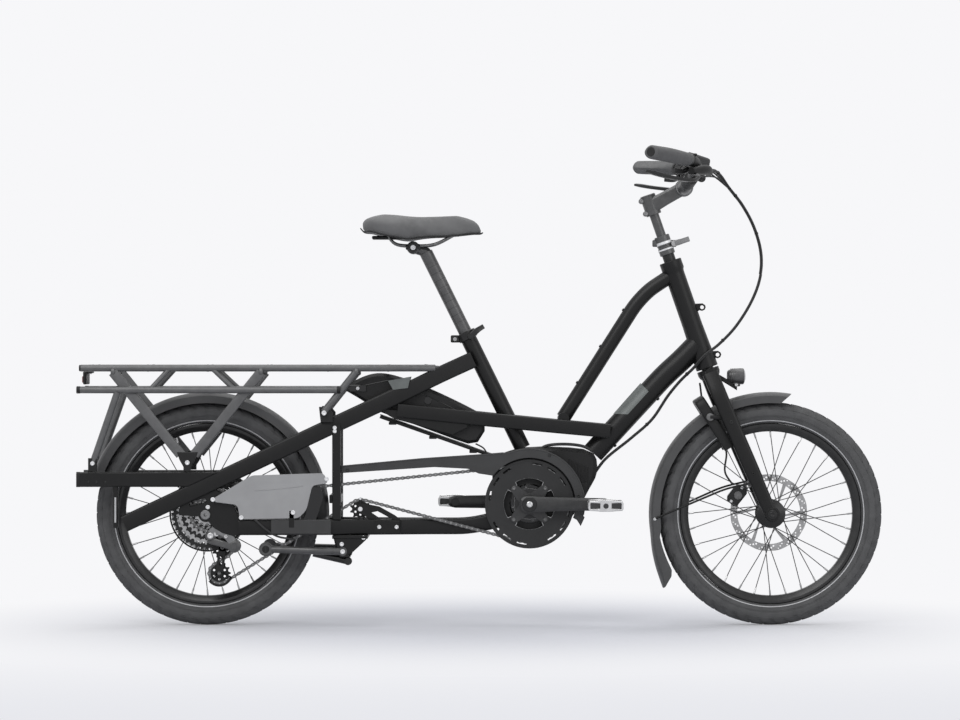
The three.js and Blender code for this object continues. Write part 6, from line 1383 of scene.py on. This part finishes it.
def saddle_edge():
    """The binding round the saddle's lower edge, with a row of stitches above it on each side."""
    form = Form()
    outer = []
    for (along, wide, top), (_, _, under) in zip(SADDLE_TOP, SADDLE_EDGE):
        edge = under + (top - under) * 0.52
        outer.append(saddle_place(along, max(wide, 0.02) * 0.94, edge - (edge - under) * 0.86))
    loop = [(x, -y, z) for x, y, z in outer] + outer[::-1]
    form.tube(loop, 1.5, 0, 8, loop=True, free=True)
    stitches = 60
    for sign in (-1, 1):
        path = np.array([(x, sign * (y + 1.0), z + 4.4) for x, y, z in outer[6:-4]])
        length = stations(path)
        for s in np.linspace(0, length[-1] - 3, stitches):
            ends = [np.array([np.interp(t, length, path[:, k]) for k in range(3)]) for t in (s, s + 2.6)]
            form.tube(ends, 0.5, 1, 5)
    form.made("saddle_edge_binding", [plastic, cloth], "seat", slot="saddle_cover")


def saddle_rails():
    rows = [(0.2, 0.24, 0.4), (0.28, 0.24, -0.08), (0.44, 0.24, -0.17), (0.6, 0.24, -0.12), (0.74, 0.14, 0.2),
            (0.8, 0, 0.36)]
    right = [saddle_place(along, -across, up) for along, across, up in rows]
    rails = spline(right + [(x, -y, z) for x, y, z in reversed(right[:-1])], 6)
    form = Form().tube(rails, 3.6, 0, 14, free=True)
    form.block((-250, -24, 893), (-170, 24, 901), 3, 1)
    form.made("saddle_rail_wire", [dark_steel, plastic], "seat", ["saddle_rails"], "hub_steel")


def seat_post():
    top = seat(-0.7)
    place = (top[0] - 29.5, top[1] + 10.9)
    form = Form()
    form.tube([xyz(seat(0.36)), xyz(top)], 15.5, 0, 36)
    form.sweep(spline([xyz(mix(top, seat(-0.6), 0.6)), xyz(top), xyz(place)], 5), ring(12.6, 28), 0)
    form.disc(place, 14.7, -28, 28, 0, bevel=3)
    for sign in (-1, 1):
        form.disc(place, 11, *between(sign, 28, 31), 1)
        form.bolt(xyz(place, sign * 31), 6, 2, 2, axis=(0, sign, 0))
        form.block((place[0] - 17, sign * 21 - 7, place[1] - 4.6), (place[0] + 17, sign * 21 + 7, place[1] + 6), 2, 1)
    for i in range(9):
        height_mark = [(15.4, -0.3), (15.62, -0.3), (15.62, 0.3), (15.4, 0.3)]
        form.spin(height_mark, xyz(seat(-0.1 - i * 0.06)), -SEAT_AXIS, 36, 1)
    form.made("seat_post_tube", [post_grey, anodised, bright], "seat", ["seatpost"], "frame_paint")

    form = Form()
    y = -24.8
    line = bent([xyz((-21.7, 669), y), xyz((-5.8, 683), y), xyz((7.8, 691.4), y + 7)], 10)
    form.sweep(line, slab(3.4, 7, 2.2), 0, scales=np.linspace(1.05, 0.8, len(line)))
    form.disc((-21.7, 669), 7.4, y - 4, y + 3, 0)
    form.made("seat_quick_lever", [anodised], "seat_clamp_lever", ["seat_lever"], "hub_steel")


saddle_pad()
saddle_edge()
saddle_rails()
seat_post()


# Stand and side guard
def stand():
    form = Form()
    pivot, foot = STAND_PIVOT, (-492, 179)
    line = bent([xyz(pivot, -70), xyz(mix(pivot, foot, 0.3), -83.5), xyz(foot, -86)], 30)
    form.sweep(line, ring(8.6, 24), 0, scales=np.linspace(1.06, 0.94, len(line)))
    form.disc(foot, 16, -94, -78, 0, bevel=3)
    form.disc(foot, 8.4, -96, -92, 1, bevel=1)
    form.block((foot[0] - 1.6, -96.6, foot[1] - 7), (foot[0] + 1.6, -95, foot[1] + 7), 0.3, 2)
    form.mirror()
    form.tube([xyz((-384, 169), -60), xyz((-306, 151), -60)], 8.6, 2, 24)
    form.disc((-304, 150.6), 9.4, -69, -51, 2, bevel=2)
    form.across(pivot, 75.5, 8, 0, 24)
    for sign in (-1, 1):
        form.disc(pivot, 11.4, *between(sign, 71, 79), 0, bevel=2)
        form.bolt(xyz(pivot, sign * 79), 5.6, 2, 3, axis=(0, sign, 0))
    form.made("centre_stand", [post_grey, plastic, gloss, bright], "stand", ["kickstand"], "frame_paint")


def side_guard():
    corner, size = (-612, 248), (264, 106)
    rows = [(0.02, 0.37), (0, 0.45), (0.33, 0.95), (0.96, 1), (1, 0.78), (0.86, 0.73), (0.81, 0.2), (0.74, 0.02),
            (0.23, 0), (0.21, 0.31)]
    form = Form().plate([flat_bent(inside(corner, size, rows), 9, 4)], -96.7, -94.3, 0.8)
    crease = [xyz(p, -96.9) for p in inside(corner, size, ((0.36, 0.62), (0.56, 0.66), (0.78, 0.72)))]
    crease = spline(crease, 6)
    form.tube(crease, 0.9, 0, 8)
    for place in ((-352, 340.6), (-429, 263.6), (-548, 252), (-613, 293.4)):
        form.bolt(xyz(place, -96.9), 5.2, 2, 1)
    form.block((-438.5, -96.7, 229), (-426.5, -94.3, 268), 0.8, 2)
    for place in ((-432.5, 237), (-585.6, 301)):
        form.disc(place, 8, -94.4, -70, 2)
    form.made("guard_panel", [shell, bright, black], "frame", ["side_guard"], "fender_plastic")
    flap = [(-398, 325), (-366, 322), (-360, 300), (-376, 246), (-408, 246), (-400, 262)]
    Form().plate([flap], -93.6, -90, 1).made("guard_flap", gloss, "frame", slot="black_plastic")
    form = Form().block((-480, -96, 213), (-342, -90.8, 247), 2)
    form.block((-478, -96.6, 215.6), (-344, -95.8, 218), 0.3)
    form.made("stay_cover_box", cover, "frame", slot="black_plastic")


stand()
side_guard()


# Hoses
def hoses():
    route = [(514, -132, 1040), (534, -108, 1048), (552, -72, 1040), (574, -46, 1012), (606, -34, 972), (634, -28, 920),
             (650, -24, 862), (649, -22, 812), (632, -20, 758), (592, -19, 692), (552, -20, 650), (518, -30, 624),
             (494, -26, 596), (464, -12, 566), (436, -8, 532), (398, -6, 476), (350, -6, 433), (290, -6, 384),
             (264, -2, 350)]
    steps, parting = 8, 7
    line = spline(route, steps)
    upper, lower = line[:parting * steps + 1], line[parting * steps:]

    def bundle(points, name, replaced):
        form = Form()
        frames, across = [], vec(0, 1, 0)
        for i, p in enumerate(points):
            along = direction(points, i)
            across = unit(across - along * (across @ along))
            frames.append((p, across, np.cross(across, along)))
        for da, du, r in ((1.9, 0.9, 1.9), (-1.9, 0.9, 1.9), (0, -2.0, 1.9)):
            form.tube([p + x * da + u * du for p, x, u in frames], r, 0, 10, free=True)
        for share in (0.25, 0.5, 0.75):
            p, x, u = frames[int(share * (len(frames) - 1))]
            form.spin([(3.6, -2), (4.4, -2), (4.4, 2), (3.6, 2)], p, np.cross(x, u), 16, 1)
        piece = form.made(name, [hose, plastic], None, [replaced], "hose_rubber", joined=False)
        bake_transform(piece)

    def row(place):
        return ((place[0] + SHIFT_X) * MM, place[1] * MM, place[2] * MM)

    bundle(upper, "hose_bundle_upper", "hose_upper")
    bundle(lower, "hose_bundle_lower", "hose_lower")
    form = Form()
    for path in (((497, -40, 1050), (520, -44, 1050), (545, -46, 1034), (574, -44, 1010)),
                 ((512, -54, 1052), (534, -54, 1048), (556, -50, 1030), (580, -44, 1002)),
                 ((490, 118, 1040), (530, 100, 1044), (556, 40, 1036), (584, -26, 1002))):
        form.tube(spline(path, 8), 1.9, 0, 10, free=True)
    form.made("bar_cables", hose, "mast", slot="hose_rubber")


hoses()


# Stage. Its lengths are metres
# The second tone is a greyer paper for the floor towards -Y: painted shade, not the paper's own colour
PAPER, PAINTED_SHADE_PAPER, AIR, GROUND = (colour(tone) for tone in
                                 ((247, 247, 249), (231, 232, 237), (226, 228, 234), (206, 207, 212)))


def backdrop():
    """An even light, which the camera sees as white paper."""
    world = bpy.data.worlds.new("studio")
    bpy.context.scene.world = world
    world.use_nodes = True
    nodes, links = world.node_tree.nodes, world.node_tree.links
    light = filled(nodes["Background"], (("Color", AIR), ("Strength", 0.55)))
    paper = node(nodes, "Background", (("Color", PAPER), ("Strength", 1.0)))
    links.new(seen_ray(nodes, links), mixed(nodes, links, light, paper, nodes["World Output"]))


def ground_plane():
    """A floor with a soft shadow under the bicycle, which turns into the paper further away; towards -Y the paper turns
    greyer as painted shade.
    """
    ground = bpy.data.meshes.new("floor")
    size = 40.0
    ground.from_pydata([(-size, -size, 0), (size, -size, 0), (size, size, 0), (-size, size, 0)], [], [(0, 1, 2, 3)])
    look = bpy.data.materials.new("floor_pale")
    look.use_nodes = True
    nodes, links = look.node_tree.nodes, look.node_tree.links
    shader = filled(nodes["Principled BSDF"], (("Base Color", GROUND), ("Roughness", 0.9),
                                               ("Specular IOR Level", 0.1)))
    paper = node(nodes, "Emission")
    where = node(nodes, "TexCoord")
    split = node(nodes, "SeparateXYZ")
    join(links, where, "Object", split, 0)
    # The paper seen by the camera turns from PAPER to the greyer tone towards -Y: painted shade
    front = node(nodes, "MapRange", (("From Min", -2.6), ("From Max", -0.2)), interpolation_type="SMOOTHSTEP")
    join(links, split, "Y", front, "Value")
    tone = node(nodes, "ValToRGB")
    for stop, shade in zip(tone.color_ramp.elements, (PAINTED_SHADE_PAPER, PAPER)):
        stop.color = shade
    join(links, front, "Result", tone, 0)
    join(links, tone, "Color", paper, "Color")
    away = node(nodes, "VectorMath", operation="LENGTH")
    join(links, where, "Object", away, 0)
    far = node(nodes, "MapRange", (("From Min", 0.3), ("From Max", 1.5)), interpolation_type="SMOOTHSTEP")
    join(links, away, "Value", far, "Value")
    share = node(nodes, "Math", operation="MULTIPLY")
    join(links, far, "Result", share, 0)
    links.new(seen_ray(nodes, links), share.inputs[1])
    links.new(share.outputs[0], mixed(nodes, links, shader, paper, nodes["Material Output"]))
    ground.materials.append(look)
    new_object("floor", ground)


def lamps():
    for name, place, size, power, aim in (
            ("key", (-1.6, -3.4, 3.6), 3.0, 95, (0, 0, 0.5)), ("fill", (3.2, -3.2, 1.6), 2.6, 30, (0.2, 0, 0.5)),
            ("top", (0.2, 0.6, 4.2), 3.4, 74, (0, 0, 0.3)), ("rim", (1.0, 3.4, 2.2), 2.4, 50, (0, 0, 0.5))):
        data = bpy.data.lights.new(name, "AREA")
        data.shape, data.size, data.energy = "SQUARE", size, power
        lamp = new_object(name, data)
        lamp.location = place
        lamp.rotation_euler = (Vector(aim) - Vector(place)).to_track_quat("-Z", "Y").to_euler()
        lamp.visible_glossy = name != "rim"


def seen_ray(nodes, links):
    """1 where the camera, a reflection or a see-through surface looks at it."""
    path = node(nodes, "LightPath")
    total = path.outputs["Is Camera Ray"]
    for other in ("Is Glossy Ray", "Is Transmission Ray"):
        add = node(nodes, "Math", operation="ADD", use_clamp=True)
        links.new(total, add.inputs[0])
        join(links, path, other, add, 1)
        total = add.outputs[0]
    return total


def mixed(nodes, links, first, second, target):
    """Mixes two shaders onto the target's surface, and gives the input that says how much of the second."""
    blend = node(nodes, "MixShader")
    join(links, first, 0, blend, 1)
    join(links, second, 0, blend, 2)
    join(links, blend, 0, target, "Surface")
    return blend.inputs[0]


def camera():
    distance, height = 9.0, 0.6136
    data = bpy.data.cameras.new("view")
    data.lens, data.sensor_width = 145.5, 36
    eye = new_object("view", data)
    eye.location = (SHIFT_X * MM, -distance, height)
    eye.rotation_euler = (math.pi / 2, 0, 0)
    data.clip_end = 200
    bpy.context.scene.camera = eye
    bpy.context.scene.view_settings.view_transform = "Standard"


backdrop()
ground_plane()
lamps()
camera()
